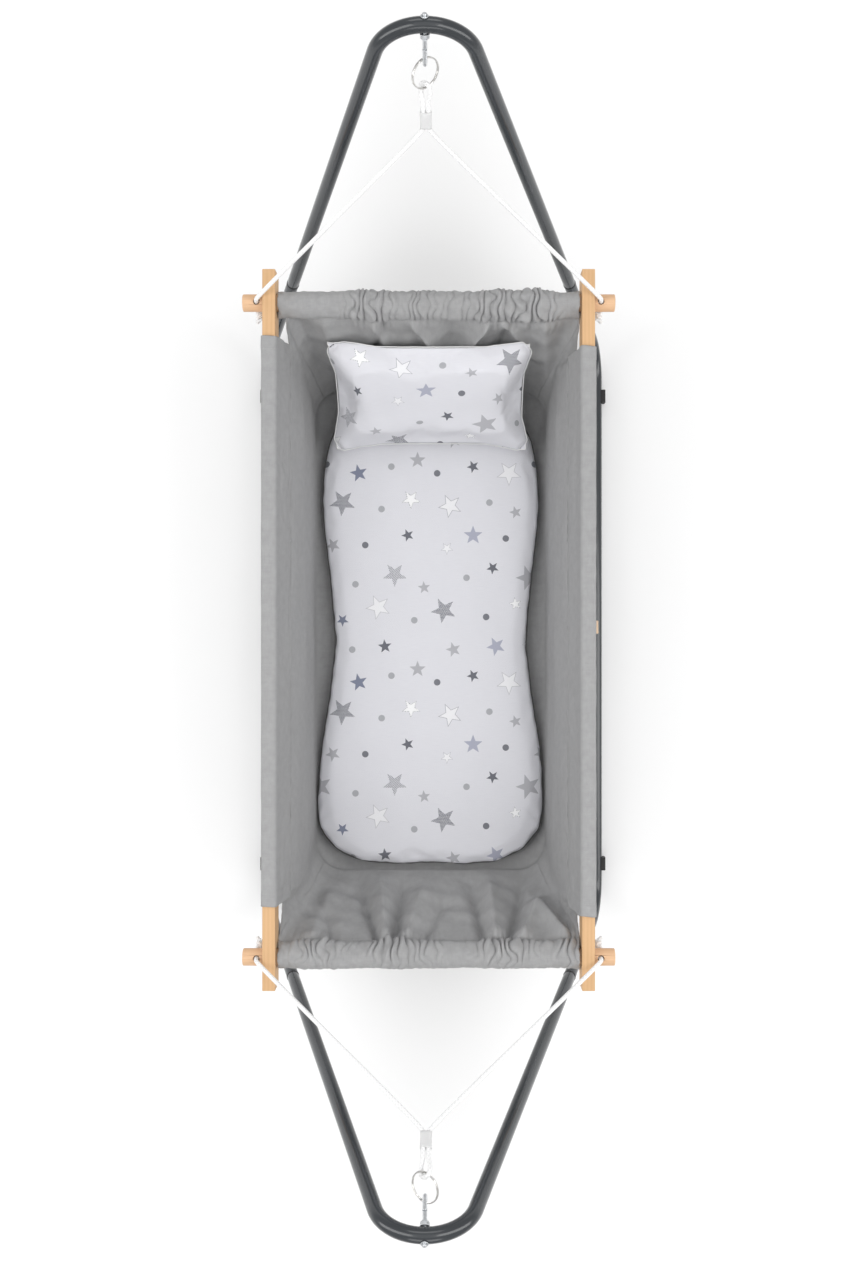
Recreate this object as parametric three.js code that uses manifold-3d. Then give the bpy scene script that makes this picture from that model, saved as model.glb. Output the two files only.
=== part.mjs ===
// Baby hammock cradle that hangs from a tubular steel stand.
// Millimetres, +Z up, +Y towards the head end, +X to the right seen from above.
// The origin is on the floor under the middle of the stand.
import * as THREE from "three";
import { mergeVertices } from "three/addons/utils/BufferGeometryUtils.js";
import Module from "manifold-3d";

const wasm = await Module();
wasm.setup();

// ---- driving dimensions ----
const GAP = 0.3; // left between pieces that touch

const TUBE_D = 19;
const TUBE_WALL = 1.5;
const APEX = { y: 702, z: 800 }; // centre line at the top of an arch
const ARCH_LEAN = THREE.MathUtils.degToRad(15.2); // outward, from upright
const LEG_SPREAD = THREE.MathUtils.degToRad(16.3); // of each leg, in the arch's own plane
const ARCH_BEND = 63; // centre-line radii
const BASE_BEND = 70;
const BASE_Z = 13.5; // height of the base tubes' centre line
const JOINT_Z = 234; // where an arch plugs onto a base tube

const RING_T = 2; // black ring in each joint
const RING_D = 20;
const SPIGOT_L = 90;
const FOOT = { y: 408, length: 22, halfWidth: 15.5, top: 20, corner: 3, mouth: 40 };

const RAIL = { length: 1000, width: 18, height: 40, outer: 230.5, top: 500 };
const BAR = { length: 520, d: 24, y: 457.7, top: 490 }; // round crossbars
const ROPE_HOLE = { d: 9, x: 240 };
const ROPE_D = 6;

const ROD_D = 5.5; // hook bolt
const HOOK = { outerEnd: 14, bend: 9, reach: 45, tip: 20 };
const NUT = { flats: 10, height: 5 };
const WASHER = { d: 12.5, t: 1.2 };
const INSERT = { d: 10, sleeve: 7.6, flange: 1, length: 5 };
const SPLIT_RING = { d: 40, radial: 2.4, axial: 3, turn: THREE.MathUtils.degToRad(38) };
const SPLIT_AT = 128; // from an arch's centre line to where the bridle's two legs part
const BINDING_L = 27;
const KNOT = { r: 7.5, drop: 12, tail: 26, lean: THREE.MathUtils.degToRad(35), below: 2.8 };

const CLOTH = 1.5;
const TAG = { stand: 5, width: 18, drop: 13, y: 4 };
const SLEEVE_L = 790; // along each rail
const SLEEVE_AT = { left: 12, right: -2 }; // middle of each rail's sleeve, along Y
const WALL = { topX: 198, topZ: 436, lowX: 187, lowZ: 320 };
const FLOOR = { z: 262, corner: 22, halfLength: 378 };
const END_WALL = { topY: 429, topZ: 452, lowY: 384 };

const MATTRESS = { halfLength: 357, halfWide: 170, halfWaist: 145, waistY: -20, z: 264, t: 36 };
const PILLOW = { width: 270, length: 180, t: 46, y: 342.5, z: 380, tilt: 50 };

// ---- materials ----
const paint = (color, roughness, metalness) =>
  new THREE.MeshStandardMaterial({ color, roughness, metalness });
const MATERIALS = {
  tube: () => paint(0x55595e, 0.3, 0.6),
  zinc: () => paint(0xc4c8cc, 0.25, 1),
  nickel: () => paint(0xd0cdc6, 0.15, 1),
  rubber: () => paint(0x202224, 0.8, 0),
  wood: () => paint(0xdcae7c, 0.55, 0),
  rope: () => paint(0xf1f0ed, 0.8, 0),
  binding: () => paint(0xf4f3f0, 0.4, 0),
  cloth: () => paint(0x9c9d9f, 0.9, 0),
  print: () => paint(0xe4e4ea, 0.85, 0),
  tag: () => paint(0xd2b593, 0.8, 0),
};

// ---- shapes ----
const vec = (x, y, z) => new THREE.Vector3(x, y, z);

/** A path of straight runs joined by round bends, with stations only where it turns. */
class BentRod extends THREE.Curve {
  constructor(corners, radius, stepsPerBend) {
    super();
    this.stations = [];
    corners.forEach((corner, i) => {
      const before = corners[i - 1];
      const after = corners[i + 1];
      if (!before || !after) {
        const along = after ? after.clone().sub(corner) : corner.clone().sub(before);
        this.add(corner, along.normalize());
        return;
      }
      const into = corner.clone().sub(before).normalize();
      const out = after.clone().sub(corner).normalize();
      const angle = into.angleTo(out);
      const axis = into.clone().cross(out).normalize();
      const start = corner.clone().addScaledVector(into, -radius * Math.tan(angle / 2));
      const toCentre = axis.clone().cross(into);
      const centre = start.clone().addScaledVector(toCentre, radius);
      for (let s = 0; s <= stepsPerBend; s++) {
        const turn = (angle * s) / stepsPerBend;
        const arm = toCentre.clone().multiplyScalar(-radius).applyAxisAngle(axis, turn);
        this.add(arm.add(centre), into.clone().applyAxisAngle(axis, turn));
      }
    });
  }

  add(point, tangent) {
    const last = this.stations.at(-1);
    if (!last || last.point.distanceTo(point) > 0.01) this.stations.push({ point, tangent });
  }

  get steps() {
    return this.stations.length - 1;
  }

  station(t) {
    return this.stations[Math.round(t * this.steps)];
  }

  getPointAt(t) {
    return this.station(t).point.clone();
  }

  getTangentAt(t) {
    return this.station(t).tangent.clone();
  }
}

function disc(radius, hole = 0) {
  const shape = new THREE.Shape().absarc(0, 0, radius, 0, Math.PI * 2);
  if (hole) shape.holes.push(new THREE.Path().absarc(0, 0, hole, 0, Math.PI * 2, true));
  return shape;
}

function rod(path, section, sides) {
  return new THREE.ExtrudeGeometry(section, {
    extrudePath: path,
    steps: path.steps,
    curveSegments: sides / 2,
    bevelEnabled: false,
  });
}

/** An outline extruded along +Z from z = 0. */
function slab(shape, depth, curveSegments = 6) {
  return new THREE.ExtrudeGeometry(shape, { depth, curveSegments, bevelEnabled: false });
}

/** A closed ring turned about Z: inner and outer radius, from z0 to z1. */
function turned(inner, outer, z0, z1, sides = 20) {
  const corners = [[inner, z0], [outer, z0], [outer, z1], [inner, z1], [inner, z0]];
  return new THREE.LatheGeometry(corners.map(([x, y]) => new THREE.Vector2(x, y)), sides).rotateX(
    Math.PI / 2,
  );
}

function solid(geometry) {
  const bare = geometry.clone();
  bare.deleteAttribute("normal");
  bare.deleteAttribute("uv");
  const merged = mergeVertices(bare, 1e-4);
  const mesh = new wasm.Mesh({
    numProp: 3,
    vertProperties: new Float32Array(merged.attributes.position.array),
    triVerts: new Uint32Array(merged.index.array),
  });
  return new wasm.Manifold(mesh);
}

function cut(geometry, ...tools) {
  const left = tools.reduce((body, tool) => body.subtract(solid(tool)), solid(geometry));
  const mesh = left.getMesh();
  const result = new THREE.BufferGeometry();
  result.setAttribute("position", new THREE.BufferAttribute(mesh.vertProperties, 3));
  result.setIndex(new THREE.BufferAttribute(mesh.triVerts, 1));
  return result;
}

const group = new THREE.Group();

function add(name, geometry, material, parent = group) {
  const mesh = new THREE.Mesh(geometry, MATERIALS[material]());
  mesh.name = name;
  parent.add(mesh);
  return mesh;
}

const SIDES = [["left", -1], ["right", 1]];
const ENDS = [["head", 1], ["foot", -1]];

// ---- stand ----
const archUp = vec(0, Math.sin(ARCH_LEAN), Math.cos(ARCH_LEAN));
const legDown = vec(Math.sin(LEG_SPREAD), 0, 0).addScaledVector(archUp, -Math.cos(LEG_SPREAD));
const legsMeet = vec(0, APEX.y, APEX.z).addScaledVector(
  archUp,
  ARCH_BEND / Math.sin(LEG_SPREAD) - ARCH_BEND,
);

/** A point on the leg's centre line at height z, plus a shift along the leg. */
function onLeg(z, sideSign, endSign, shift = 0) {
  const t = (z - legsMeet.z) / legDown.z + shift;
  const p = legsMeet.clone().addScaledVector(legDown, t);
  return vec(p.x * sideSign, p.y * endSign, p.z);
}

const jointHalf = RING_T / 2 + GAP;
const tubeSection = disc(TUBE_D / 2, TUBE_D / 2 - TUBE_WALL);

/** Tilt of the load line from upright: from the cradle's crossbar to the middle of the hook's bow. */
const barToApex = new THREE.Vector2(APEX.y - BAR.y, APEX.z - BAR.top);
const LINE_TILT =
  Math.atan2(barToApex.x, barToApex.y) - Math.asin(HOOK.bend / barToApex.length());

/** A group at an arch's apex whose -Z runs down the load line and whose -Y faces the cradle. */
function apexGroup(endSign) {
  const end = new THREE.Group();
  end.rotation.z = endSign > 0 ? 0 : Math.PI;
  const apex = new THREE.Group();
  apex.position.set(0, APEX.y, APEX.z);
  apex.rotation.x = -LINE_TILT;
  end.add(apex);
  group.add(end);
  return apex;
}

function arch(endSign) {
  const path = new BentRod(
    [
      onLeg(JOINT_Z, 1, endSign, -jointHalf),
      vec(0, legsMeet.y * endSign, legsMeet.z),
      onLeg(JOINT_Z, -1, endSign, -jointHalf),
    ],
    ARCH_BEND,
    22,
  );
  const bore = new THREE.CylinderGeometry(INSERT.sleeve / 2 + GAP, INSERT.sleeve / 2 + GAP, 40, 16);
  bore.rotateX(Math.PI / 2 - LINE_TILT).translate(0, APEX.y, APEX.z);
  if (endSign < 0) bore.rotateZ(Math.PI);
  return cut(rod(path, tubeSection, 16), bore);
}

function baseTube(sideSign) {
  const corners = [
    onLeg(JOINT_Z, sideSign, 1, jointHalf),
    onLeg(BASE_Z, sideSign, 1),
    onLeg(BASE_Z, sideSign, -1),
    onLeg(JOINT_Z, sideSign, -1, jointHalf),
  ];
  return rod(new BentRod(corners, BASE_BEND, 10), tubeSection, 16);
}

/** A sleeve about the leg's own line, centred on the joint. */
function onJoint(geometry, sideSign, endSign) {
  const up = vec(-legDown.x * sideSign, -legDown.y * endSign, -legDown.z);
  const turn = new THREE.Quaternion().setFromUnitVectors(vec(0, 0, 1), up);
  const at = onLeg(JOINT_Z, sideSign, endSign);
  return geometry.applyQuaternion(turn).translate(at.x, at.y, at.z);
}

/** Saddle that snaps round the base tube from below: flat underneath, open on top. */
function footPad() {
  const r = TUBE_D / 2 + GAP;
  const mouth = THREE.MathUtils.degToRad(FOOT.mouth);
  const { halfWidth: w, top, corner: c } = FOOT;
  const shape = new THREE.Shape();
  shape.moveTo(-w + c, 0).lineTo(w - c, 0).absarc(w - c, c, c, -Math.PI / 2, 0);
  shape.absarc(w - c, top - c, c, 0, Math.PI / 2);
  shape.absarc(0, BASE_Z, r, mouth, Math.PI - mouth, true);
  shape.absarc(-w + c, top - c, c, Math.PI / 2, Math.PI);
  shape.absarc(-w + c, c, c, Math.PI, Math.PI * 1.5);
  return slab(shape, FOOT.length).translate(0, 0, -FOOT.length / 2).rotateX(Math.PI / 2);
}

for (const [endName, endSign] of ENDS) add(`${endName}_arch_tube`, arch(endSign), "tube");
for (const [sideName, sideSign] of SIDES) {
  add(`${sideName}_base_tube`, baseTube(sideSign), "tube");
  const baseX = onLeg(BASE_Z, sideSign, 1).x;
  for (const [endName, endSign] of ENDS) {
    const name = `${sideName}_${endName}`;
    const boreR = TUBE_D / 2 - TUBE_WALL;
    const spigotR = boreR - GAP * 1.5; // the round bore is faceted, so the fit is a little looser
    const spigot = turned(spigotR - 1.2, spigotR, -SPIGOT_L / 2, SPIGOT_L / 2, 16);
    add(`${name}_joint_spigot`, onJoint(spigot, sideSign, endSign), "zinc");
    const ring = turned(boreR, RING_D / 2, -RING_T / 2, RING_T / 2, 20);
    add(`${name}_joint_ring`, onJoint(ring, sideSign, endSign), "rubber");
    add(`${name}_foot_pad`, footPad(), "rubber").position.set(baseX, FOOT.y * endSign, 0);
  }
}

// ---- hooks, split rings and bridles, along each load line ----
const bowZ = -HOOK.reach + ROD_D / 2; // centre line at the bottom of the hook's bow
const RING_LIFT = 2.4; // above the bow, because the ring crosses it askew
const ringZ = bowZ + ROD_D / 2 + RING_LIFT - (SPLIT_RING.d / 2 - SPLIT_RING.radial); // its centre
const lineY = -HOOK.bend; // the load line, beside the hook's shank

function hookBolt() {
  const y = -2 * HOOK.bend;
  const corners = [vec(0, 0, HOOK.outerEnd), vec(0, 0, bowZ), vec(0, y, bowZ), vec(0, y, -HOOK.tip)];
  return rod(new BentRod(corners, HOOK.bend, 6), disc(ROD_D / 2), 12);
}

function nut() {
  const shape = new THREE.Shape();
  const r = NUT.flats / 2 / Math.cos(Math.PI / 6);
  for (let i = 0; i < 6; i++) {
    const a = (i * Math.PI) / 3;
    shape[i ? "lineTo" : "moveTo"](r * Math.cos(a), r * Math.sin(a));
  }
  shape.holes.push(new THREE.Path().absarc(0, 0, ROD_D / 2 + GAP, 0, Math.PI * 2, true));
  return slab(shape, NUT.height);
}

/** Threaded insert set in the tube's outer wall: a short sleeve under a thin flange. */
function threadedInsert() {
  const inner = ROD_D / 2 + GAP;
  const top = TUBE_D / 2 + GAP + INSERT.flange;
  const neck = TUBE_D / 2 + GAP;
  const low = top - INSERT.length;
  const r = INSERT.sleeve / 2;
  const lip = INSERT.d / 2;
  const corners = [[inner, low], [r, low], [r, neck], [lip, neck], [lip, top], [inner, top], [inner, low]];
  return new THREE.LatheGeometry(corners.map(([x, y]) => new THREE.Vector2(x, y)), 16).rotateX(
    Math.PI / 2,
  );
}

function splitRing() {
  const outer = SPLIT_RING.d / 2;
  const half = SPLIT_RING.axial / 2;
  return turned(outer - SPLIT_RING.radial, outer, -half, half, 28).rotateX(Math.PI / 2);
}

// the bridle in the load line's own frame: x across, z up the line
const STRAND_X = ROPE_D / 2 + GAP; // of each strand inside the binding
const BIGHT = { x: 6.2, turn: THREE.MathUtils.degToRad(30), lift: 1.4 }; // loop through the ring
const bightZ = ringZ - SPLIT_RING.d / 2 + SPLIT_RING.radial + ROPE_D / 2 + BIGHT.lift;

/** A point of the load line's frame, turned about that line, as a point of the whole object's. */
function fromLine(x, z, endSign, turn = 0) {
  const p = vec(x * Math.cos(turn), lineY - x * Math.sin(turn), z);
  p.applyAxisAngle(vec(1, 0, 0), -LINE_TILT);
  return vec(p.x, (p.y + APEX.y) * endSign, p.z + APEX.z);
}

/** Half a bridle from the top of its loop to the stopper knot under a crossbar. */
function bridleHalf(sideSign, endSign) {
  const s = sideSign;
  const loop = [
    [BIGHT.x * 0.72, bightZ - 1.9, 1],
    [BIGHT.x, bightZ - BIGHT.x, 1],
    [BIGHT.x - 0.6, bightZ - 15, 0.6],
    [STRAND_X + 0.3, bightZ - 25, 0.1],
    [STRAND_X, -SPLIT_AT + BINDING_L / 2, 0],
    [STRAND_X, -SPLIT_AT + 1, 0],
    [STRAND_X + 2.6, -SPLIT_AT - 3.5, 0],
  ];
  const x = ROPE_HOLE.x;
  const leg = [
    [x - 6, BAR.y + 3.8, BAR.top + 15],
    [x - 1.2, BAR.y + 0.8, BAR.top + 8],
    [x, BAR.y, BAR.top],
    [x, BAR.y, BAR.top - BAR.d - GAP],
  ];
  return [
    ...loop.map(([u, z, turned]) => fromLine(u * s, z, endSign, BIGHT.turn * turned)),
    ...leg.map(([u, y, z]) => vec(u * s, y * endSign, z)),
  ];
}

function bridle(endSign) {
  const left = bridleHalf(-1, endSign).reverse();
  const top = fromLine(0, bightZ, endSign);
  const points = [...left, top, ...bridleHalf(1, endSign)];
  const curve = new THREE.CatmullRomCurve3(points, false, "centripetal");
  const path = new BentRod([], 0, 0);
  const stretches = points.length - 1;
  const along = (t) => path.add(curve.getPoint(t), curve.getTangent(t));
  for (let i = 0; i <= stretches * 2; i++) along(i / (stretches * 2));
  return rod(path, disc(ROPE_D / 2), 8);
}

/** Binding that holds the bridle's two strands together: an oval sleeve along Z. */
function binding() {
  const oval = (r) => {
    const shape = new THREE.Shape();
    shape.absarc(STRAND_X, 0, r, -Math.PI / 2, Math.PI / 2);
    shape.absarc(-STRAND_X, 0, r, Math.PI / 2, Math.PI * 1.5);
    return shape;
  };
  const shape = oval(ROPE_D / 2 + GAP + 0.9);
  shape.holes.push(oval(ROPE_D / 2 + GAP));
  return slab(shape, BINDING_L - 5, 8);
}

/** Stopper knot with its short tail, hanging under a crossbar's end. */
function knot() {
  const { r, drop, tail } = KNOT;
  const half = ROPE_D / 2;
  const profile = [
    [0, 0], [half, 0], [r * 0.75, -1.5], [r, -drop * 0.5], [r * 0.75, -drop + 1.5],
    [half, -drop - 1], [half, -drop - tail], [0, -drop - tail],
  ];
  const points = profile.reverse().map(([x, y]) => new THREE.Vector2(x, y));
  return new THREE.LatheGeometry(points, 12).rotateX(Math.PI / 2);
}

for (const [endName, endSign] of ENDS) {
  const apex = apexGroup(endSign);
  const washerTop = -TUBE_D / 2 - GAP * 2;
  const nutTop = washerTop - WASHER.t - GAP;
  add(`${endName}_hook_bolt`, hookBolt(), "zinc", apex);
  add(`${endName}_thread_insert`, threadedInsert(), "zinc", apex);
  const washer = turned(ROD_D / 2 + GAP, WASHER.d / 2, washerTop - WASHER.t, washerTop);
  add(`${endName}_hook_washer`, washer, "zinc", apex);
  add(`${endName}_hook_nut`, nut(), "zinc", apex).position.z = nutTop - NUT.height;
  const ring = add(`${endName}_split_ring`, splitRing(), "nickel", apex);
  ring.position.set(0, lineY, ringZ);
  // seen from above, the two rings turn opposite ways
  ring.rotation.z = SPLIT_RING.turn * endSign;
  add(`${endName}_bridle_binding`, binding(), "binding", apex).position.set(0, lineY, -SPLIT_AT + 1);
  add(`${endName}_bridle_rope`, bridle(endSign), "rope");
  for (const [sideName, sideSign] of SIDES) {
    const stopper = add(`${sideName}_${endName}_knot`, knot(), "rope");
    stopper.position.set(ROPE_HOLE.x * sideSign, BAR.y * endSign, BAR.top - BAR.d - KNOT.below);
    stopper.rotation.x = -KNOT.lean * endSign; // towards the cradle's middle
  }
}

// ---- wooden frame ----
const railX = RAIL.outer - RAIL.width / 2;
const railZ = RAIL.top - RAIL.height / 2;
const BAR_SIDES = 32;
const barZ = BAR.top - BAR.d / 2;

function rail(sideSign) {
  const body = new THREE.BoxGeometry(RAIL.width, RAIL.length, RAIL.height);
  body.translate(railX * sideSign, 0, railZ);
  const r = BAR.d / 2 + GAP;
  const holes = ENDS.map(([, endSign]) =>
    new THREE.CylinderGeometry(r, r, RAIL.width * 2, BAR_SIDES)
      .rotateZ(Math.PI / 2)
      .translate(railX * sideSign, BAR.y * endSign, barZ),
  );
  return cut(body, ...holes);
}

function crossbar(endSign) {
  const r = BAR.d / 2;
  const body = new THREE.CylinderGeometry(r, r, BAR.length, BAR_SIDES);
  body.rotateZ(Math.PI / 2).translate(0, BAR.y * endSign, barZ);
  const holes = SIDES.map(([, sideSign]) =>
    new THREE.CylinderGeometry(ROPE_HOLE.d / 2, ROPE_HOLE.d / 2, BAR.d * 2, 16)
      .rotateX(Math.PI / 2)
      .translate(ROPE_HOLE.x * sideSign, BAR.y * endSign, barZ),
  );
  return cut(body, ...holes);
}

for (const [sideName, sideSign] of SIDES) add(`${sideName}_rail`, rail(sideSign), "wood");
for (const [endName, endSign] of ENDS) add(`${endName}_crossbar`, crossbar(endSign), "wood");

// ---- hammock ----
/** Outline through [x, z] corners, as a shape in the XZ plane, to be extruded along Y. */
const outline = (corners) => new THREE.Shape(corners.map(([x, z]) => new THREE.Vector2(x, z)));

/** Extrudes an XZ outline along Y, centred on y = 0; sideSign -1 mirrors it. */
function alongY(shape, length, sideSign, curveSegments) {
  const geometry = slab(shape, length, curveSegments).translate(0, 0, -length / 2);
  geometry.rotateX(Math.PI / 2);
  return sideSign > 0 ? geometry : geometry.rotateZ(Math.PI);
}

/** Sleeve round a rail: snug on its top and outer face, hanging clear on the inside. */
function railSleeve(sideSign) {
  const out = RAIL.outer + GAP;
  const inner = RAIL.outer - RAIL.width - GAP;
  const top = RAIL.top + GAP;
  const t = CLOTH;
  const hole = [
    [out, top], [inner, top], [WALL.topX + 3 * t, WALL.topZ + 2 * t], [out, WALL.topZ + 2 * t],
  ];
  const outer = [
    [out + t, top + t], [inner - t / 2, top + t], [WALL.topX, WALL.topZ + t],
    [WALL.topX, WALL.topZ], [out + t, WALL.topZ],
  ];
  const shape = outline(outer);
  shape.holes.push(outline(hole));
  return alongY(shape, SLEEVE_L, sideSign);
}

/** Side wall from the sleeve's seam down to the floor. */
function sideWall(sideSign) {
  const { topX, topZ, lowX, lowZ } = WALL;
  const corners = [
    [topX, topZ - GAP], [lowX, lowZ + GAP], [lowX + CLOTH, lowZ + GAP], [topX + CLOTH, topZ - GAP],
  ];
  return alongY(outline(corners), SLEEVE_L, sideSign);
}

/** Floor of the hammock: flat under the mattress, turned up along both sides. */
function hammockFloor() {
  const { z, corner: r, halfLength } = FLOOR;
  const { lowX: x, lowZ } = WALL;
  const t = CLOTH;
  const shape = new THREE.Shape();
  shape.moveTo(-x, lowZ).absarc(-x + r, z + r, r, Math.PI, Math.PI * 1.5);
  shape.absarc(x - r, z + r, r, Math.PI * 1.5, Math.PI * 2);
  shape.lineTo(x, lowZ).lineTo(x + t, lowZ);
  shape.absarc(x - r, z + r, r + t, 0, -Math.PI / 2, true);
  shape.absarc(-x + r, z + r, r + t, -Math.PI / 2, -Math.PI, true);
  shape.lineTo(-x - t, lowZ);
  return alongY(shape, halfLength * 2, 1, 5);
}

/** End wall: leans out from the floor's end up to the crossbar sleeve's seam. */
function endWall(endSign) {
  const { topY, topZ, lowY } = END_WALL;
  const { z, corner: r } = FLOOR;
  const lean = Math.atan2(topY - lowY, topZ - z);
  const length = Math.hypot(topY - lowY, topZ - z);
  const topHalf = WALL.topX - 4;
  const x = WALL.lowX - 3;
  const shape = new THREE.Shape();
  shape.moveTo(-x, r).absarc(-x + r, r, r, Math.PI, Math.PI * 1.5);
  shape.absarc(x - r, r, r, Math.PI * 1.5, Math.PI * 2);
  shape.lineTo(topHalf, length).lineTo(-topHalf, length);
  const wall = slab(shape, CLOTH, 5).rotateX(Math.PI / 2 - lean).translate(0, lowY + CLOTH, z);
  return endSign > 0 ? wall : wall.rotateZ(Math.PI);
}

/** Gathered sleeve round a crossbar, between the rails. */
function crossbarSleeve(endSign) {
  const reach = { back: 15, front: 22, up: 15, down: 16 };
  const hole = new THREE.Path().absarc(0, 0, BAR.d / 2 + 2 * GAP, 0, Math.PI * 2, true);
  const shape = outline([
    [reach.back, reach.up - 4], [reach.back - 4, reach.up], [-reach.front + 6, reach.up],
    [-reach.front, reach.up - 6], [-reach.front - 4, -reach.down + 3],
    [-reach.front, -reach.down], [reach.back - 5, -reach.down], [reach.back, -reach.down + 5],
  ]);
  shape.holes.push(hole);
  const length = 2 * (RAIL.outer - RAIL.width - 2);
  // profile x runs along +Y and profile y along +Z; the extrusion runs along X
  const sleeve = slab(shape, length, BAR_SIDES / 2).translate(0, 0, -length / 2);
  sleeve.rotateX(Math.PI / 2).rotateZ(Math.PI / 2).translate(0, BAR.y, barZ);
  return endSign > 0 ? sleeve : sleeve.rotateZ(Math.PI);
}

for (const [sideName, sideSign] of SIDES) {
  add(`${sideName}_rail_sleeve`, railSleeve(sideSign), "cloth").position.y = SLEEVE_AT[sideName];
  add(`${sideName}_side_wall`, sideWall(sideSign), "cloth");
}
add("hammock_floor", hammockFloor(), "cloth");
for (const [endName, endSign] of ENDS) {
  add(`${endName}_crossbar_sleeve`, crossbarSleeve(endSign), "cloth");
  add(`${endName}_end_wall`, endWall(endSign), "cloth");
}
const tag = add("side_tag", new THREE.BoxGeometry(TAG.stand, TAG.width, TAG.drop), "tag");
tag.position.set(RAIL.outer + CLOTH + 2 * GAP + TAG.stand / 2, TAG.y, RAIL.top - TAG.drop);

// ---- bedding ----
/** Peanut-shaped mattress: two round ends and a narrower waist, with rounded edges. */
function mattress() {
  const { halfLength: l, halfWide: w, halfWaist: waist, waistY, z, t } = MATTRESS;
  const edge = 8;
  const plan = [
    [0, -l], [w * 0.55, -l], [w * 0.9, -l + 38], [w, -l + 110], [w * 0.975, -l + 190],
    [waist, waistY], [w * 0.955, l - 215], [w * 0.97, l - 130], [w * 0.86, l - 50],
    [w * 0.6, l - 8], [0, l],
  ].map(([x, y]) => new THREE.Vector2(x, y));
  const right = new THREE.SplineCurve(plan).getPoints(18);
  const left = right.slice(1, -1).reverse().map((p) => new THREE.Vector2(-p.x, p.y));
  const inset = new THREE.Vector2(1 - edge / w, 1 - edge / l); // the bevel adds the edge back
  const shape = new THREE.Shape([...right, ...left].map((p) => p.multiply(inset)));
  return new THREE.ExtrudeGeometry(shape, {
    depth: t - 2 * edge,
    bevelSize: edge,
    bevelThickness: edge,
    bevelSegments: 2,
  }).translate(0, 0, z + edge);
}

/** Pillow leaning on the head wall: thick in the middle, thin at its seam. */
function pillow() {
  const { width, length, t, tilt, y, z } = PILLOW;
  const edge = 20;
  const [a, b] = [width / 2 - edge, length / 2 - edge];
  const shape = outline([[-a, -b], [a, -b], [a, b], [-a, b]]);
  return new THREE.ExtrudeGeometry(shape, {
    depth: t * 0.3,
    bevelSize: edge,
    bevelThickness: t * 0.35,
    bevelSegments: 2,
  })
    .translate(0, 0, -t * 0.15)
    .rotateX(THREE.MathUtils.degToRad(tilt))
    .translate(0, y, z);
}

add("mattress", mattress(), "print");
add("pillow", pillow(), "print");

export default group;
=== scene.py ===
import contextlib
import math

import bmesh
import bpy
import numpy as np
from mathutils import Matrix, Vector


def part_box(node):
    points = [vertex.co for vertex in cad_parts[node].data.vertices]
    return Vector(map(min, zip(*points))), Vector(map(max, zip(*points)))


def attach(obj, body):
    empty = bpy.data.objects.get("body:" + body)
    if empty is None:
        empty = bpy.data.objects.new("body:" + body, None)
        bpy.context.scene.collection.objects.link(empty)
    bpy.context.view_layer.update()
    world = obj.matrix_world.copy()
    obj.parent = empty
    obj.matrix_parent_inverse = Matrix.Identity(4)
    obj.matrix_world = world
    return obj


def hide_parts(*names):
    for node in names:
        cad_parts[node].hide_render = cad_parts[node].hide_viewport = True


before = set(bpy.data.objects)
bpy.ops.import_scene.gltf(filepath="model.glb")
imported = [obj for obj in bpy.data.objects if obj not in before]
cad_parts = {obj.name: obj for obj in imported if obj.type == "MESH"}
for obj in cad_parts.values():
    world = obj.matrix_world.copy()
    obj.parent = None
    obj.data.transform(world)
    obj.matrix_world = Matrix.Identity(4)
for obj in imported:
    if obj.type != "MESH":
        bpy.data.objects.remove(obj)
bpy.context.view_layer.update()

SIDES = (("left", -1), ("right", 1))
ENDS = (("head", 1), ("foot", -1))
scene = bpy.context.scene


# ---- reading the frame ----
def points_of(mesh):
    return np.array([v.co for v in mesh.vertices])


def corners_of(node):
    """The lowest and highest corner of a CAD node."""
    low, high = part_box(node)
    return np.array(low), np.array(high)


def middle_of(node):
    low, high = corners_of(node)
    return (low + high) / 2


def spread_axis(node, rank):
    """The direction of a CAD node's longest (rank 0) to shortest (rank 2) spread, and its mean point."""
    points = points_of(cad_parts[node].data)
    mean = points.mean(0)
    return np.linalg.svd(points - mean, full_matrices=False)[2][rank], mean


TUBE_R = 0.0095
ARCH_BEND = 0.063  # centre-line radii
BASE_BEND = 0.070
ROPE_D = 0.006
ROD_R = 0.00275  # hook bolt
HOOK = {"outer_end": 0.014, "bend": 0.009, "reach": 0.045, "tip": 0.020}
SPLIT_AT = 0.128  # down the load line to where a bridle's legs part
BINDING_L = 0.027
RING_TURN = math.radians(38)
BIGHT = {"x": 0.0062, "turn": math.radians(30)}  # loop of rope through the split ring
CLOTH_T = 0.0012
WAIST_DEPTH = 0.14  # share by which a bridle's binding narrows between its two strands
PIPING_R = 0.0016
SEAM_R = 0.0008  # of the pillow's edge
PILLOW_BAG = (0.300, 0.200)  # the pillow's case laid flat
UNDER_BEND = 0.999  # share of a hook's bend, so that two bends in a row don't meet

APEX = corners_of("head_arch_tube")[1] - TUBE_R  # only its Y and Z are used
RAIL_LOW, RAIL_HIGH = corners_of("right_rail")
BAR_LOW, BAR_HIGH = corners_of("head_crossbar")
BAR_Y, BAR_Z = middle_of("head_crossbar")[1:]
BAR_R = (BAR_HIGH[2] - BAR_LOW[2]) / 2
ROPE_X = BAR_HIGH[0] - 0.020  # of the rope holes
LINE_TILT = math.atan2(*np.abs(spread_axis("head_hook_nut", 2)[0][1:]))  # from upright
RING_MIDDLE = middle_of("head_split_ring")


def from_line(x, y, z, end_sign):
    """A point of the load line's frame, whose -Z runs down the line from the arch's centre line."""
    c, s = math.cos(LINE_TILT), math.sin(LINE_TILT)
    return np.array([x, (APEX[1] + y * c + z * s) * end_sign, APEX[2] - y * s + z * c])


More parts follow.
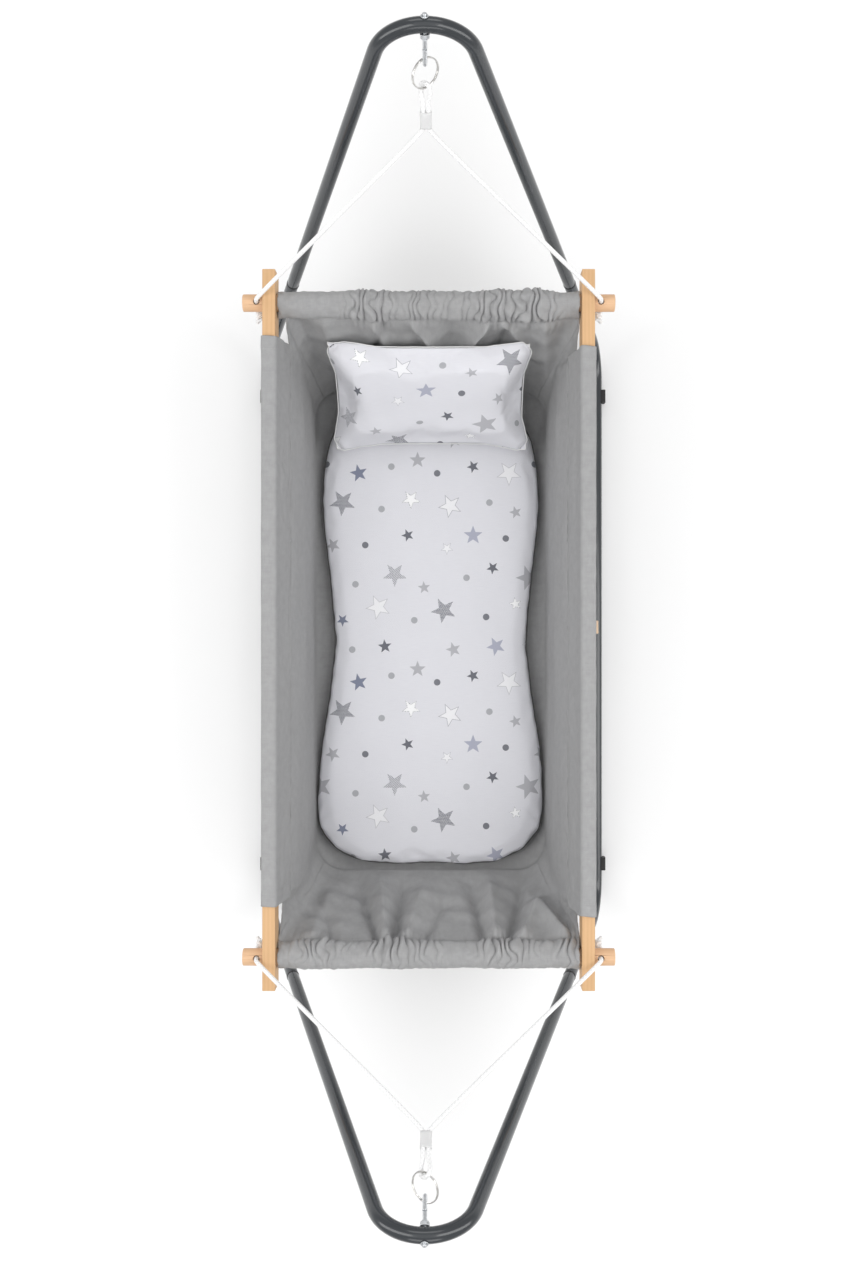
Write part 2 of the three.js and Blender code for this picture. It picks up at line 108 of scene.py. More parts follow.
def into_line(point):
    """The y and z of a head-end point in the load line's frame."""
    c, s = math.cos(LINE_TILT), math.sin(LINE_TILT)
    y, z = point[1] - APEX[1], point[2] - APEX[2]
    return y * c - z * s, y * s + z * c


RING_Y, RING_Z = into_line(RING_MIDDLE)
BIGHT_Z = RING_Z - 0.0132


# ---- paths ----
def catmull_rom(a, b, c, d, knots, t):
    def between(p, q, start, end):
        return p * (end - t) / (end - start) + q * (t - start) / (end - start)

    t0, t1, t2, t3 = knots
    ab, bc, cd = between(a, b, t0, t1), between(b, c, t1, t2), between(c, d, t2, t3)
    return between(between(ab, bc, t0, t2), between(bc, cd, t1, t3), t1, t2)


def smooth_path(points, step):
    """A centripetal Catmull-Rom curve through the points, with stations about step apart."""
    p = np.asarray(points, float)
    p = np.vstack([2 * p[0] - p[1], p, 2 * p[-1] - p[-2]])
    out = []
    for a, b, c, d in zip(p, p[1:], p[2:], p[3:]):
        knots = np.cumsum([0] + [math.sqrt(np.linalg.norm(v)) for v in (b - a, c - b, d - c)])
        count = max(2, math.ceil(np.linalg.norm(c - b) / step))
        out += [
            catmull_rom(a, b, c, d, knots, t)
            for t in np.linspace(knots[1], knots[2], count, endpoint=False)
        ]
    return np.array(out + [p[-2]])


def bent_path(corners, radius, step=0.004, straight_step=0.03):
    """Straight runs joined by round bends."""
    p = [np.asarray(c, float) for c in corners]
    out = [p[0]]
    for before, corner, after in zip(p, p[1:], p[2:]):
        into = (corner - before) / np.linalg.norm(corner - before)
        onward = (after - corner) / np.linalg.norm(after - corner)
        angle = math.acos(np.clip(into @ onward, -1, 1))
        start = corner - into * radius * math.tan(angle / 2)
        side = onward - into * (into @ onward)
        side /= np.linalg.norm(side)
        out += straight(out[-1], start, straight_step)
        for t in np.linspace(0, angle, max(3, math.ceil(angle * radius / step)))[1:]:
            out.append(start + radius * (math.sin(t) * into + (1 - math.cos(t)) * side))
    out += straight(out[-1], p[-1], straight_step)
    return np.array(out)


def straight(start, end, step):
    """Stations after start, up to and with end."""
    count = max(1, math.ceil(np.linalg.norm(end - start) / step))
    return [start + (end - start) * i / count for i in range(1, count + 1)]


def path_length(path):
    return float(np.linalg.norm(np.diff(path, axis=0), axis=1).sum())


def along(path):
    return np.concatenate([[0], np.cumsum(np.linalg.norm(np.diff(path, axis=0), axis=1))])


def frames_along(path, closed=False):
    """Tangent, normal and binormal at each station, turned as little as possible."""
    tangents = np.gradient(path, axis=0)
    if closed:
        tangents = np.roll(path, -1, axis=0) - np.roll(path, 1, axis=0)
    tangents /= np.linalg.norm(tangents, axis=1)[:, None]
    normal = np.cross(tangents[0], [0.31, 0.52, 0.79])
    normals = []
    for t in tangents:
        normal = normal - t * (normal @ t)
        normal /= np.linalg.norm(normal)
        normals.append(normal)
    normals = np.array(normals)
    return tangents, normals, np.cross(tangents, normals)


# ---- meshes ----
def placed(name, data):
    """A new object in the scene."""
    made = bpy.data.objects.new(name, data)
    scene.collection.objects.link(made)
    return made


@contextlib.contextmanager
def edited(mesh):
    """A mesh opened as a bmesh, and written back after the block."""
    shape = bmesh.new()
    shape.from_mesh(mesh)
    yield shape
    shape.to_mesh(mesh)
    shape.free()


def riding(name, mesh, body, material):
    """An object of one material that rides on a body."""
    piece = placed(name, mesh)
    mesh.materials.append(material)
    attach(piece, body)
    return piece


def crossed(rows, columns):
    """A grid of pairs: the first value along one direction, the second along the other."""
    return np.stack(np.broadcast_arrays(rows, columns), axis=2)


def grid_faces(rows, columns, wrap_columns=False, wrap_rows=False):
    """Quads of a grid whose points are numbered row by row."""
    faces = []
    for i in range(rows if wrap_rows else rows - 1):
        for j in range(columns if wrap_columns else columns - 1):
            k, m = (i + 1) % rows, (j + 1) % columns
            faces.append((i * columns + j, i * columns + m, k * columns + m, k * columns + j))
    return faces


def piece_from(name, points, faces, body, material):
    """A new object that rides on a body."""
    mesh = bpy.data.meshes.new(name)
    mesh.from_pydata([tuple(p) for p in points], [], faces)
    with edited(mesh) as shape:
        bmesh.ops.remove_doubles(shape, verts=shape.verts, dist=1e-6)
        bmesh.ops.recalc_face_normals(shape, faces=shape.faces)
    mesh.shade_smooth()
    return riding(name, mesh, body, material)


def sheet_from(name, grid, body, material, flat_at, wrap_columns=False):
    """A cloth sheet from a grid of points, with each point's place in the flat cloth as an attribute."""
    rows, columns = grid.shape[:2]
    mesh = bpy.data.meshes.new(name)
    faces = grid_faces(rows, columns, wrap_columns)
    mesh.from_pydata([tuple(p) for p in grid.reshape(-1, 3)], [], faces)
    mesh.shade_smooth()
    store(mesh, "flat_at", flat_at.reshape(-1, 2))
    return riding(name, mesh, body, material)


def store(mesh, name, places):
    """Keeps a 2-D place for each point, as a vector attribute that materials can read."""
    values = np.zeros((len(mesh.vertices), 3), np.float32)
    values[:, :2] = places
    attribute = mesh.attributes.new(name, "FLOAT_VECTOR", "POINT")
    attribute.data.foreach_set("vector", values.ravel())


def tube_points(path, radius, sides, closed=False, wave=None):
    """Rings of points round a path. wave(distance, angle) scales the radius."""
    _, normals, binormals = frames_along(path, closed)
    angles = np.linspace(0, 2 * math.pi, sides, endpoint=False)
    radii = np.broadcast_to(radius, len(path))[:, None] * np.ones(sides)
    if wave:
        radii = radii * wave(along(path)[:, None], angles[None, :])
    across, up = np.cos(angles)[None, :, None], np.sin(angles)[None, :, None]
    ring = across * normals[:, None] + up * binormals[:, None]
    return path[:, None] + radii[:, :, None] * ring


def tube(name, path, radius, sides, body, material, slot=None, closed=False, wave=None, round_end=0.0008):
    """A round bar along a path, with flat ends that have a small rounded edge."""
    if closed:
        points = tube_points(path, radius, sides, True, wave)
        faces = grid_faces(len(path), sides, True, True)
        return piece_from(name, points.reshape(-1, 3), faces, body, material)
    path, shrink = with_ends(path, radius, round_end)
    points = tube_points(path, radius * shrink, sides, False, wave)
    rows = len(path)
    faces = grid_faces(rows, sides, True)
    faces += [tuple(range(sides)), tuple((rows - 1) * sides + i for i in reversed(range(sides)))]
    return piece_from(name, points.reshape(-1, 3), faces, body, material)


def with_ends(path, radius, edge):
    """Extra stations at both ends, and each station's share of the radius, for a rounded edge."""
    edge = min(edge, radius * 0.95)
    turns = np.linspace(0, math.pi / 2, 5)
    first = (path[1] - path[0]) / np.linalg.norm(path[1] - path[0])
    last = (path[-2] - path[-1]) / np.linalg.norm(path[-2] - path[-1])
    depth = edge * (1 - np.cos(turns))
    share = 1 - (edge / radius) * (1 - np.sin(turns))
    start = path[0] + depth[:, None] * first
    end = path[-1] + depth[::-1, None] * last
    inner = path[1:-1]
    shrink = np.concatenate([share, np.ones(len(inner)), share[::-1]])
    return np.vstack([start, inner, end]), shrink


def waves(seed, count, low, high):
    """A smooth random function of one or two lengths, from -1 to 1, made of sine waves that long."""
    random = np.random.default_rng(seed)
    lengths = np.exp(random.uniform(math.log(low), math.log(high), count))
    headings = random.uniform(0, math.pi, count)
    phases = random.uniform(0, 2 * math.pi, count)

    def value(u, v=0.0):
        total = 0.0
        for length, heading, phase in zip(lengths, headings, phases):
            shift = u * math.cos(heading) + v * math.sin(heading)
            total = total + np.sin(2 * math.pi * shift / length + phase)
        return total / math.sqrt(count) / 1.5

    return value


def smoothstep(low, high, x):
    t = np.clip((x - low) / (high - low), 0, 1)
    return t * t * (3 - 2 * t)


# ---- materials ----
class Shader:
    """A node material on one Principled BSDF, with short calls for the nodes that feed it."""

    def __init__(self, name, **constants):
        self.material = bpy.data.materials.new(name)
        self.material.use_nodes = True
        self.tree = self.material.node_tree
        self.bsdf = self.tree.nodes["Principled BSDF"]
        for socket, value in constants.items():
            self.bsdf.inputs[socket.replace("_", " ")].default_value = value

    def node(self, kind, inputs=(), **settings):
        made = self.tree.nodes.new(kind)
        for key, value in settings.items():
            setattr(made, key, value)
        for key, value in dict(inputs).items():
            self.feed(made.inputs[key], value)
        return made

    def feed(self, socket, value):
        if isinstance(value, bpy.types.NodeSocket):
            self.tree.links.new(value, socket)
        else:
            socket.default_value = value

    def math(self, operation, *values):
        made = self.node("ShaderNodeMath", operation=operation)
        for socket, value in zip(made.inputs, values):
            self.feed(socket, value)
        return made.outputs[0]

    def plus(self, first, second):
        return self.math("ADD", first, second)

    def minus(self, first, second):
        return self.math("SUBTRACT", first, second)

    def times(self, first, second):
        return self.math("MULTIPLY", first, second)

    def sine(self, value):
        return self.math("SINE", value)

    def mix(self, factor, first, second):
        made = self.node("ShaderNodeMix", data_type="RGBA")
        for socket, value in zip((made.inputs[0], made.inputs[6], made.inputs[7]), (factor, first, second)):
            self.feed(socket, value)
        return made.outputs[2]

    def noise(self, where, scale, detail=2.0, roughness=0.5):
        inputs = {"Vector": where, "Scale": scale, "Detail": detail, "Roughness": roughness}
        return self.node("ShaderNodeTexNoise", inputs).outputs["Fac"]

    def place(self):
        return self.node("ShaderNodeTexCoord").outputs["Object"]

    def attribute(self, name):
        return self.node("ShaderNodeAttribute", attribute_name=name).outputs["Vector"]

    def stretched(self, where, x=1.0, y=1.0, z=1.0):
        return self.node("ShaderNodeVectorMath", {0: where, 1: (x, y, z)}, operation="MULTIPLY").outputs[0]

    def split(self, where):
        return self.node("ShaderNodeSeparateXYZ", {0: where}).outputs

    def span(self, value, low, high):
        inputs = {"Value": value, "To Min": low, "To Max": high}
        return self.node("ShaderNodeMapRange", inputs).outputs["Result"]

    def bump(self, height, distance, strength=1.0):
        inputs = {"Height": height, "Distance": distance, "Strength": strength}
        self.feed(self.bsdf.inputs["Normal"], self.node("ShaderNodeBump", inputs).outputs[0])

    def colour(self, value):
        self.feed(self.bsdf.inputs["Base Color"], value)

    def roughness(self, value):
        self.feed(self.bsdf.inputs["Roughness"], value)


def grey(value, warm=0.0):
    return (value * (1 + warm), value, value * (1 - warm), 1)


def tube_paint():
    s = Shader("tube_paint", Coat_Weight=0.35, Coat_Roughness=0.06, Specular_IOR_Level=0.45)
    where = s.place()
    s.colour(s.mix(s.noise(where, 30, 3), (0.025, 0.029, 0.033, 1), (0.031, 0.035, 0.040, 1)))
    s.roughness(s.span(s.noise(where, 120, 3), 0.20, 0.27))
    s.bump(s.noise(where, 1400, 2), 0.00001)
    return s.material


def metal(name, colour, rough, scratch_scale):
    s = Shader(name, Metallic=1.0)
    where = s.place()
    s.colour(s.mix(s.noise(where, 300, 3), tuple(c * 0.88 for c in colour) + (1,), colour + (1,)))
    s.roughness(s.span(s.noise(where, scratch_scale, 5), rough * 0.7, rough * 1.5))
    s.bump(s.noise(where, scratch_scale * 2, 2), 0.00002)
    return s.material


def rubber():
    s = Shader("rubber", Specular_IOR_Level=0.35)
    where = s.place()
    s.colour(s.mix(s.noise(where, 250, 3), grey(0.016), grey(0.028)))
    s.roughness(s.span(s.noise(where, 500, 3), 0.5, 0.75))
    s.bump(s.noise(where, 2500, 2), 0.00005)
    return s.material


def wood(name, pale, dark, along_axis):
    """Rings about a far-off pith, so that the grain runs along one axis and shows as arcs on the ends."""
    s = Shader(name, Specular_IOR_Level=0.4)
    where = s.place()
    squeeze = [1.0, 1.0, 1.0]
    squeeze[along_axis] = 0.06
    lengthwise = s.stretched(where, *squeeze)
    across = s.noise(lengthwise, 9, 2)
    x, y, z = s.split(lengthwise)
    sideways = [x, y, z][1 - along_axis]
    offset = s.plus(sideways, s.times(across, 0.03))
    pith = s.math("SQRT", s.plus(s.math("POWER", offset, 2.0), s.math("POWER", s.plus(z, 0.03), 2.0)))
    rings = s.math("PINGPONG", s.times(pith, 420.0), 0.5)
    fibre = s.noise(s.stretched(where, *[v if v < 1 else 9.0 for v in squeeze]), 240, 3)
    tone = s.plus(s.times(rings, 0.7), s.times(fibre, 0.75))
    s.colour(s.mix(s.span(tone, 0.0, 1.0), pale + (1,), dark + (1,)))
    s.roughness(s.span(fibre, 0.48, 0.68))
    s.bump(s.plus(fibre, s.times(rings, 0.3)), 0.00012)
    return s.material


def rope_cord():
    """Braided cord: its attribute holds the angle round it and the length along it."""
    s = Shader("rope_cord", Roughness=0.75, Sheen_Weight=0.2)
    angle, length = s.split(s.attribute("flat_at"))[:2]
    run = s.times(length, 2 * math.pi / 0.006)
    one = s.sine(s.plus(s.times(angle, 4.0), run))
    other = s.sine(s.minus(s.times(angle, 4.0), run))
    braid = s.math("MAXIMUM", one, other)
    s.colour(s.mix(s.span(braid, 0.0, 1.0), grey(0.80), grey(0.90)))
    s.bump(braid, 0.0003)
    return s.material


def clear_sleeve():
    s = Shader("clear_sleeve", Transmission_Weight=0.35, IOR=1.45, Specular_IOR_Level=0.5)
    where = s.place()
    s.colour(s.mix(s.noise(where, 120, 2), grey(0.86), grey(0.93)))
    s.roughness(s.span(s.noise(where, 400, 3), 0.25, 0.4))
    s.bump(s.noise(where, 500, 2), 0.0002)
    return s.material


def weave_height(s, flat_at, pitch):
    """Plain weave: threads of the two directions pass over each other in turn."""
    u, v = s.split(flat_at)[:2]
    one = s.sine(s.times(u, math.pi / pitch))
    other = s.sine(s.times(v, math.pi / pitch))
    return s.times(one, other)


def hammock_cloth():
    s = Shader("hammock_cloth", Specular_IOR_Level=0.2, Sheen_Weight=0.12, Sheen_Roughness=0.5)
    flat_at = s.attribute("flat_at")
    weave = weave_height(s, flat_at, 0.0007)
    slub = s.times(s.noise(s.stretched(flat_at, 1, 40), 45, 3), s.noise(s.stretched(flat_at, 40, 1), 45, 3))
    mottle = s.times(s.minus(s.noise(flat_at, 85, 4, 0.65), 0.5), 1.5)
    tone = s.plus(s.times(weave, 0.10), s.times(slub, 1.6))
    tone = s.plus(tone, mottle)
    wear = s.noise(s.place(), 7, 3)
    base = s.mix(s.span(tone, 0.0, 1.0), (0.300, 0.301, 0.305, 1), (0.402, 0.403, 0.407, 1))
    s.colour(s.mix(s.times(wear, 0.35), base, (0.36, 0.355, 0.35, 1)))
    s.roughness(s.span(slub, 0.78, 0.95))
    s.bump(s.plus(weave, s.times(slub, 2.0)), 0.00018)
    return s.material


def tan_tape():
    s = Shader("tan_tape", Specular_IOR_Level=0.25, Sheen_Weight=0.15)
    where = s.place()
    y, z = s.split(where)[1:]
    twill = s.sine(s.times(s.plus(y, z), 2 * math.pi / 0.0011))
    s.colour(s.mix(s.span(twill, 0.2, 0.8), (0.60, 0.42, 0.28, 1), (0.74, 0.56, 0.40, 1)))
    s.roughness(s.span(s.noise(where, 900, 2), 0.7, 0.9))
    s.bump(twill, 0.0001)
    return s.material


def sewing_thread(name, value):
    s = Shader(name, Sheen_Weight=0.1)
    where = s.place()
    s.colour(s.mix(s.noise(where, 2000, 2), grey(value * 0.85), grey(value)))
    s.roughness(s.span(s.noise(where, 900, 2), 0.55, 0.8))
    s.bump(s.noise(where, 6000, 1), 0.00005)
    return s.material


# The bedding's print: one repeat of stars and dots, in centimetres: across, up, size, turn in degrees, look.
REPEAT = (32.0, 32.0)
PRINT = (
    (2, 3, 2.0, 10, "patterned"), (8.5, 2, 0.5, 0, "dark_dot"), (13, 4, 1.0, 25, "white"),
    (18.5, 1.5, 1.0, 0, "slate"), (24, 3.5, 2.0, 12, "pale_outline"), (29.5, 1.5, 0.5, 0, "light_dot"),
    (5.5, 8, 0.5, 0, "light_dot"), (9.5, 9.5, 1.0, 5, "dark"), (15, 8, 2.0, 18, "light"),
    (20.5, 7, 0.5, 0, "light_dot"), (26.5, 8.5, 1.9, 0, "striped"), (31, 6.5, 1.0, 30, "light"),
    (2.5, 12.5, 1.0, 0, "white_outline"), (6.5, 14.5, 1.5, 36, "lavender"), (11.5, 14, 0.5, 0, "dark_dot"),
    (17, 13, 1.2, 8, "light"), (22, 13, 0.5, 0, "dark_dot"), (28.5, 14.5, 1.0, 15, "dark"),
    (3, 19, 1.9, 10, "white_outline"), (9, 19.5, 0.5, 0, "light_dot"), (13, 18, 1.0, 20, "light"),
    (18.5, 19.5, 2.1, 5, "patterned"), (24.5, 18.5, 0.5, 0, "light_dot"), (29, 20, 1.5, 0, "white"),
    (1, 24, 0.5, 0, "dark_dot"), (6.5, 25, 1.0, 12, "dark"), (12, 24, 2.0, 0, "pale_outline"),
    (16, 25.5, 0.5, 0, "dark_dot"), (21, 24, 1.4, 24, "slate"), (26, 25, 0.5, 0, "light_dot"),
    (30, 26, 1.3, 36, "light"), (3.5, 29, 1.2, 20, "light"), (10, 29.5, 1.5, 10, "lavender"),
    (15, 30, 1.0, 0, "white_outline"), (20, 29, 0.5, 0, "light_dot"), (25, 29.5, 1.1, 30, "dark"),
)
INKS = {
    "dark": (0.16, 0.165, 0.19, 1), "slate": (0.22, 0.24, 0.32, 1), "light": (0.46, 0.46, 0.49, 1),
    "lavender": (0.42, 0.43, 0.52, 1), "white": (0.93, 0.93, 0.94, 1), "dark_dot": (0.20, 0.205, 0.23, 1),
    "light_dot": (0.42, 0.425, 0.45, 1), "patterned": (0.14, 0.145, 0.17, 1),
    "striped": (0.16, 0.165, 0.19, 1),
    "pale_outline": (0.55, 0.55, 0.58, 1), "white_outline": (0.42, 0.42, 0.46, 1),
}


def star_reach(s, x, y, turn):
    """A five-pointed star's own radius at each place: its outline is where this equals its size."""
    inner = 0.42  # of the outer radius
    fold = math.pi / 5
    lean = math.atan2(1 - inner * math.cos(fold), inner * math.sin(fold))  # of an edge's normal
    angle = s.math("PINGPONG", s.plus(s.math("ARCTAN2", y, x), math.radians(turn) + 4 * math.pi), fold)
    radius = s.math("SQRT", s.plus(s.times(x, x), s.times(y, y)))
    across = s.math("COSINE", s.minus(angle, lean))
    return s.math("DIVIDE", s.times(radius, across), math.cos(lean))


def inside(s, reach, size):
    return s.math("LESS_THAN", reach, size)


def motif(s, u, v, ground, motif_row):
    """Draws one star or dot over the ground colour, and gives the new colour."""
    across, up, size, turn, look = motif_row
    half = (REPEAT[0] / 2, REPEAT[1] / 2)
    x = s.math("WRAP", s.minus(u, across), half[0], -half[0])
    y = s.math("WRAP", s.minus(v, up), half[1], -half[1])
    if look.endswith("dot"):
        radius = s.math("SQRT", s.plus(s.times(x, x), s.times(y, y)))
        return s.mix(inside(s, radius, size), ground, INKS[look])
    reach = star_reach(s, x, y, turn + 90)
    shape = inside(s, reach, size)
    if look in ("white_outline", "pale_outline"):
        edge = s.minus(shape, inside(s, reach, size * 0.88))
        filled = s.mix(s.times(shape, 0.6), ground, INKS["white"])
        return s.mix(edge, filled, INKS[look])
    if look == "white":
        edge = s.minus(shape, inside(s, reach, size * 0.86))
        dashes = s.math("GREATER_THAN", s.sine(s.times(s.plus(x, y), 28.0)), 0.0)
        return s.mix(s.times(edge, dashes), s.mix(shape, ground, INKS[look]), INKS["dark"])
    if look == "striped":
        lines = s.math("GREATER_THAN", s.sine(s.times(s.plus(x, y), 24.0)), 0.25)
        return s.mix(s.times(shape, lines), ground, INKS[look])
    if look == "patterned":
        bends = s.math("PINGPONG", x, 0.14)
        lines = s.math("GREATER_THAN", s.sine(s.times(s.plus(y, bends), 30.0)), -0.35)
        return s.mix(s.times(shape, lines), ground, INKS[look])
    return s.mix(shape, ground, INKS[look])


def star_print(name, shift):
    """Pale cotton with the print, read from each point's place in the flat cloth."""
    s = Shader(name, Specular_IOR_Level=0.2, Sheen_Weight=0.08)
    flat_at = s.attribute("flat_at")
    u, v = s.split(flat_at)[:2]
    u = s.plus(s.times(u, 100.0), shift[0])
    v = s.plus(s.times(v, 100.0), shift[1])
    weave = weave_height(s, flat_at, 0.0004)
    slub = s.noise(s.stretched(flat_at, 1, 30), 60, 3)
    colour = s.mix(slub, (0.70, 0.70, 0.745, 1), (0.78, 0.78, 0.815, 1))
    for row in PRINT:
        colour = motif(s, u, v, colour, row)
    s.colour(colour)
    s.roughness(s.span(slub, 0.75, 0.92))
    s.bump(s.plus(weave, s.times(s.noise(flat_at, 90, 3), 3.0)), 0.0001)
    return s.material


def floor_with_painted_shadow():
    """White backdrop paper with a painted shadow: darker in an ellipse along the middle, under the object.
    """
    s = Shader("floor_with_painted_shadow", Specular_IOR_Level=0.1)
    where = s.place()
    # painted shadow: tone is 1 under the middle of the cradle and fades out in an ellipse long along Y, and
    # the paper is mixed by it towards grey 0.60
    x, y = s.split(s.stretched(where, 1 / 0.19, 1 / 0.85))[:2]
    reach = s.plus(s.times(x, x), s.times(y, y))
    tone = s.math("POWER", math.e, s.times(reach, -1.0))
    paper = s.mix(s.noise(where, 3, 2), grey(0.925), grey(0.93))
    s.colour(s.mix(tone, paper, grey(0.60)))
    s.roughness(0.9)
    return s.material


LOOKS = {
    "tube": tube_paint(),
    "zinc": metal("zinc_plate", (0.72, 0.74, 0.76), 0.26, 900),
    "nickel": metal("nickel_plate", (0.74, 0.73, 0.71), 0.14, 600),
    "rubber": rubber(),
    "rail_wood": wood("rail_wood", (0.66, 0.425, 0.235), (0.53, 0.32, 0.155), 1),
    "dowel_wood": wood("dowel_wood", (0.74, 0.50, 0.315), (0.62, 0.38, 0.215), 0),
    "rope": rope_cord(),
    "binding": clear_sleeve(),
    "cloth": hammock_cloth(),
    "tag": tan_tape(),
    "grey_thread": sewing_thread("grey_thread", 0.42),
    "white_thread": sewing_thread("white_thread", 0.8),
    "piping": sewing_thread("grey_piping", 0.10),
    "mattress": star_print("mattress_print", (0.0, 0.0)),
    "pillow": star_print("pillow_print", (7.0, 12.0)),
    "floor": floor_with_painted_shadow(),
}


# ---- camera, floor and light ----
def make_camera():
    """Straight down from above the cradle, with small shifts of the frame."""
    data = bpy.data.cameras.new("camera")
    data.lens = 37.6
    data.shift_x, data.shift_y = -0.0178, -0.0078
    camera = placed("camera", data)
    camera.location = (0.0286, 0, 2.35)
    scene.camera = camera


def make_floor():
    mesh = bpy.data.meshes.new("floor")
    half = 8.0
    corners = [(-half, -half, 0), (half, -half, 0), (half, half, 0), (-half, half, 0)]
    mesh.from_pydata(corners, [], [(0, 1, 2, 3)])
    mesh.materials.append(LOOKS["floor"])
    placed("floor", mesh)


def softbox(name, place, target, size, watts):
    data = bpy.data.lights.new(name, "AREA")
    data.shape = "RECTANGLE"
    data.size, data.size_y = size
    data.energy = watts
    light = placed(name, data)
    light.location = place
    light.rotation_mode = "QUATERNION"
    light.rotation_quaternion = (Vector(target) - Vector(place)).to_track_quat("-Z", "Y")


def make_light():
    world = bpy.data.worlds.new("studio")
    world.use_nodes = True
    world.node_tree.nodes["Background"].inputs["Color"].default_value = (1, 1, 1, 1)
    world.node_tree.nodes["Background"].inputs["Strength"].default_value = 0.55
    scene.world = world
    softbox("left_softbox", (-2.1, -0.3, 2.3), (0, 0, 0.4), (1.2, 3.2), 42)
    softbox("right_softbox", (2.1, -0.3, 2.3), (0, 0, 0.4), (1.2, 3.2), 42)
    softbox("head_softbox", (0, 2.7, 2.5), (0, 0, 0.2), (2.4, 1.2), 20)
    softbox("foot_softbox", (0, -2.7, 2.5), (0, 0, 0.2), (2.4, 1.2), 20)
    softbox("top_softbox", (0.2, 0.0, 3.4), (0, 0, 0.3), (2.4, 2.4), 10)
    scene.view_settings.view_transform = "Standard"


make_camera()
make_floor()
make_light()


# ---- cords: one bridle at each end ----
def bridle_route(end_sign):
    """From the stopper knot under the left end of the crossbar, over the split ring, to the right one."""
    loop = [
        (BIGHT["x"] * 0.72, BIGHT_Z - 0.0019, 1),
        (BIGHT["x"], BIGHT_Z - BIGHT["x"], 1),
        (BIGHT["x"] - 0.0006, BIGHT_Z - 0.015, 0.6),
        (ROPE_D / 2 + 0.0006, BIGHT_Z - 0.025, 0.1),
        (ROPE_D / 2 + 0.0003, -SPLIT_AT + BINDING_L / 2, 0),
        (ROPE_D / 2 + 0.0003, -SPLIT_AT + 0.001, 0),
        (ROPE_D / 2 + 0.0029, -SPLIT_AT - 0.0035, 0),
    ]
    leg = [
        (ROPE_X - 0.006, BAR_Y + 0.0038, BAR_HIGH[2] + 0.015),
        (ROPE_X - 0.0012, BAR_Y + 0.0008, BAR_HIGH[2] + 0.008),
        (ROPE_X, BAR_Y, BAR_HIGH[2]),
        (ROPE_X, BAR_Y, BAR_LOW[2] - 0.0003),
    ]
    halves = {}
    for side in (-1, 1):
        turned = []
        for u, z, t in loop:
            c, s = math.cos(BIGHT["turn"] * t), math.sin(BIGHT["turn"] * t)
            turned.append(from_line(u * side * c, RING_Y - u * side * s, z, end_sign))
        halves[side] = turned + [np.array([u * side, y * end_sign, z]) for u, y, z in leg]
    top = from_line(0, RING_Y, BIGHT_Z, end_sign)
    return smooth_path(halves[-1][::-1] + [top] + halves[1], 0.004)


def braided(name, path, radius, sides, body):
    """A rope as a mesh tube that keeps the angle round it and the length along it for its braid."""
    path, shrink = with_ends(path, radius, 0.0012)
    points = tube_points(path, radius * shrink, sides)
    points = np.concatenate([points, points[:, :1]], axis=1)  # a seam, where the angle ends its full turn
    angles = np.linspace(0, 2 * math.pi, sides + 1)
    flat = crossed(angles[None, :], along(path)[:, None])
    rows, columns = points.shape[:2]
    rope = sheet_from(name, points, body, LOOKS["rope"], flat)
    with edited(rope.data) as shape:
        shape.verts.ensure_lookup_table()
        for row in (0, rows - 1):
            shape.faces.new([shape.verts[row * columns + i] for i in range(columns - 1)])
    return rope


def knot_path(side, end_sign):
    """A stopper knot: a trefoil cut open, with the rope in at its top and its tail out at its bottom."""
    across, thick = 0.0021, 0.0026
    lean = middle_of("right_head_knot")[1] - BAR_Y  # towards the middle of the cradle
    t = np.linspace(math.pi + 0.55, 3 * math.pi - 0.55, 46)
    x, y, z = np.sin(t) + 2 * np.sin(2 * t), np.cos(t) - 2 * np.cos(2 * t), -np.sin(3 * t)
    body = np.stack([z * thick * side, -(y + 1.0) * across, x * across - 0.0105], axis=1)
    body[:, 1] += lean * 0.9
    start = [(0, 0, 0.0002), (0, lean * 0.12, -0.0025)]
    last = body[-1]
    tail = [last + np.array(p) for p in ((0.001 * side, -0.003, -0.004), (0.004 * side, -0.007, -0.009),
                                         (0.009 * side, -0.011, -0.013))]
    local = np.vstack([start, body, tail])
    local[:, 1] *= end_sign
    return smooth_path(local + [ROPE_X * side, BAR_Y * end_sign, BAR_LOW[2] - 0.0012], 0.0015)


def make_bridle(end, end_sign):
    path = bridle_route(end_sign)
    rope = braided(f"{end}_rope", path, ROPE_D / 2, 16, "cradle")
    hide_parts(f"{end}_bridle_rope")
    pieces = [make_binding(end, end_sign)]
    for side, side_sign in SIDES:
        route = knot_path(side_sign, end_sign)
        knot = braided(f"{side}_{end}_stopper_knot", route, ROPE_D / 2 * 0.96, 14, "cradle")
        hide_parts(f"{side}_{end}_knot")
        pieces.append(knot)


def make_binding(end, end_sign):
    """Clear shrunk sleeve round the bridle's two strands, waisted between them."""
    sides, rows = 40, 12
    angles = np.linspace(0, 2 * math.pi, sides, endpoint=False)
    strand = ROPE_D / 2 + 0.0003
    points = []
    lift = np.linspace(-SPLIT_AT + 0.001, -SPLIT_AT + BINDING_L - 0.004, rows)
    for wall in (ROPE_D / 2 + 0.0011, ROPE_D / 2 + 0.0004):
        for z in lift if wall > ROPE_D / 2 + 0.001 else lift[::-1]:
            waist = 1 - WAIST_DEPTH * np.abs(np.sin(angles)) ** 6
            x = strand * np.tanh(2.4 * np.cos(angles)) + wall * np.cos(angles)
            y = wall * np.sin(angles) * waist
            points.append([from_line(a, RING_Y + b, z, end_sign) for a, b in zip(x, y)])
    faces = grid_faces(2 * rows, sides, True, True)
    points = np.array(points).reshape(-1, 3)
    binding = piece_from(f"{end}_binding", points, faces, "cradle", LOOKS["binding"])
    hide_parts(f"{end}_bridle_binding")
    return binding


for end_name, sign in ENDS:
    make_bridle(end_name, sign)


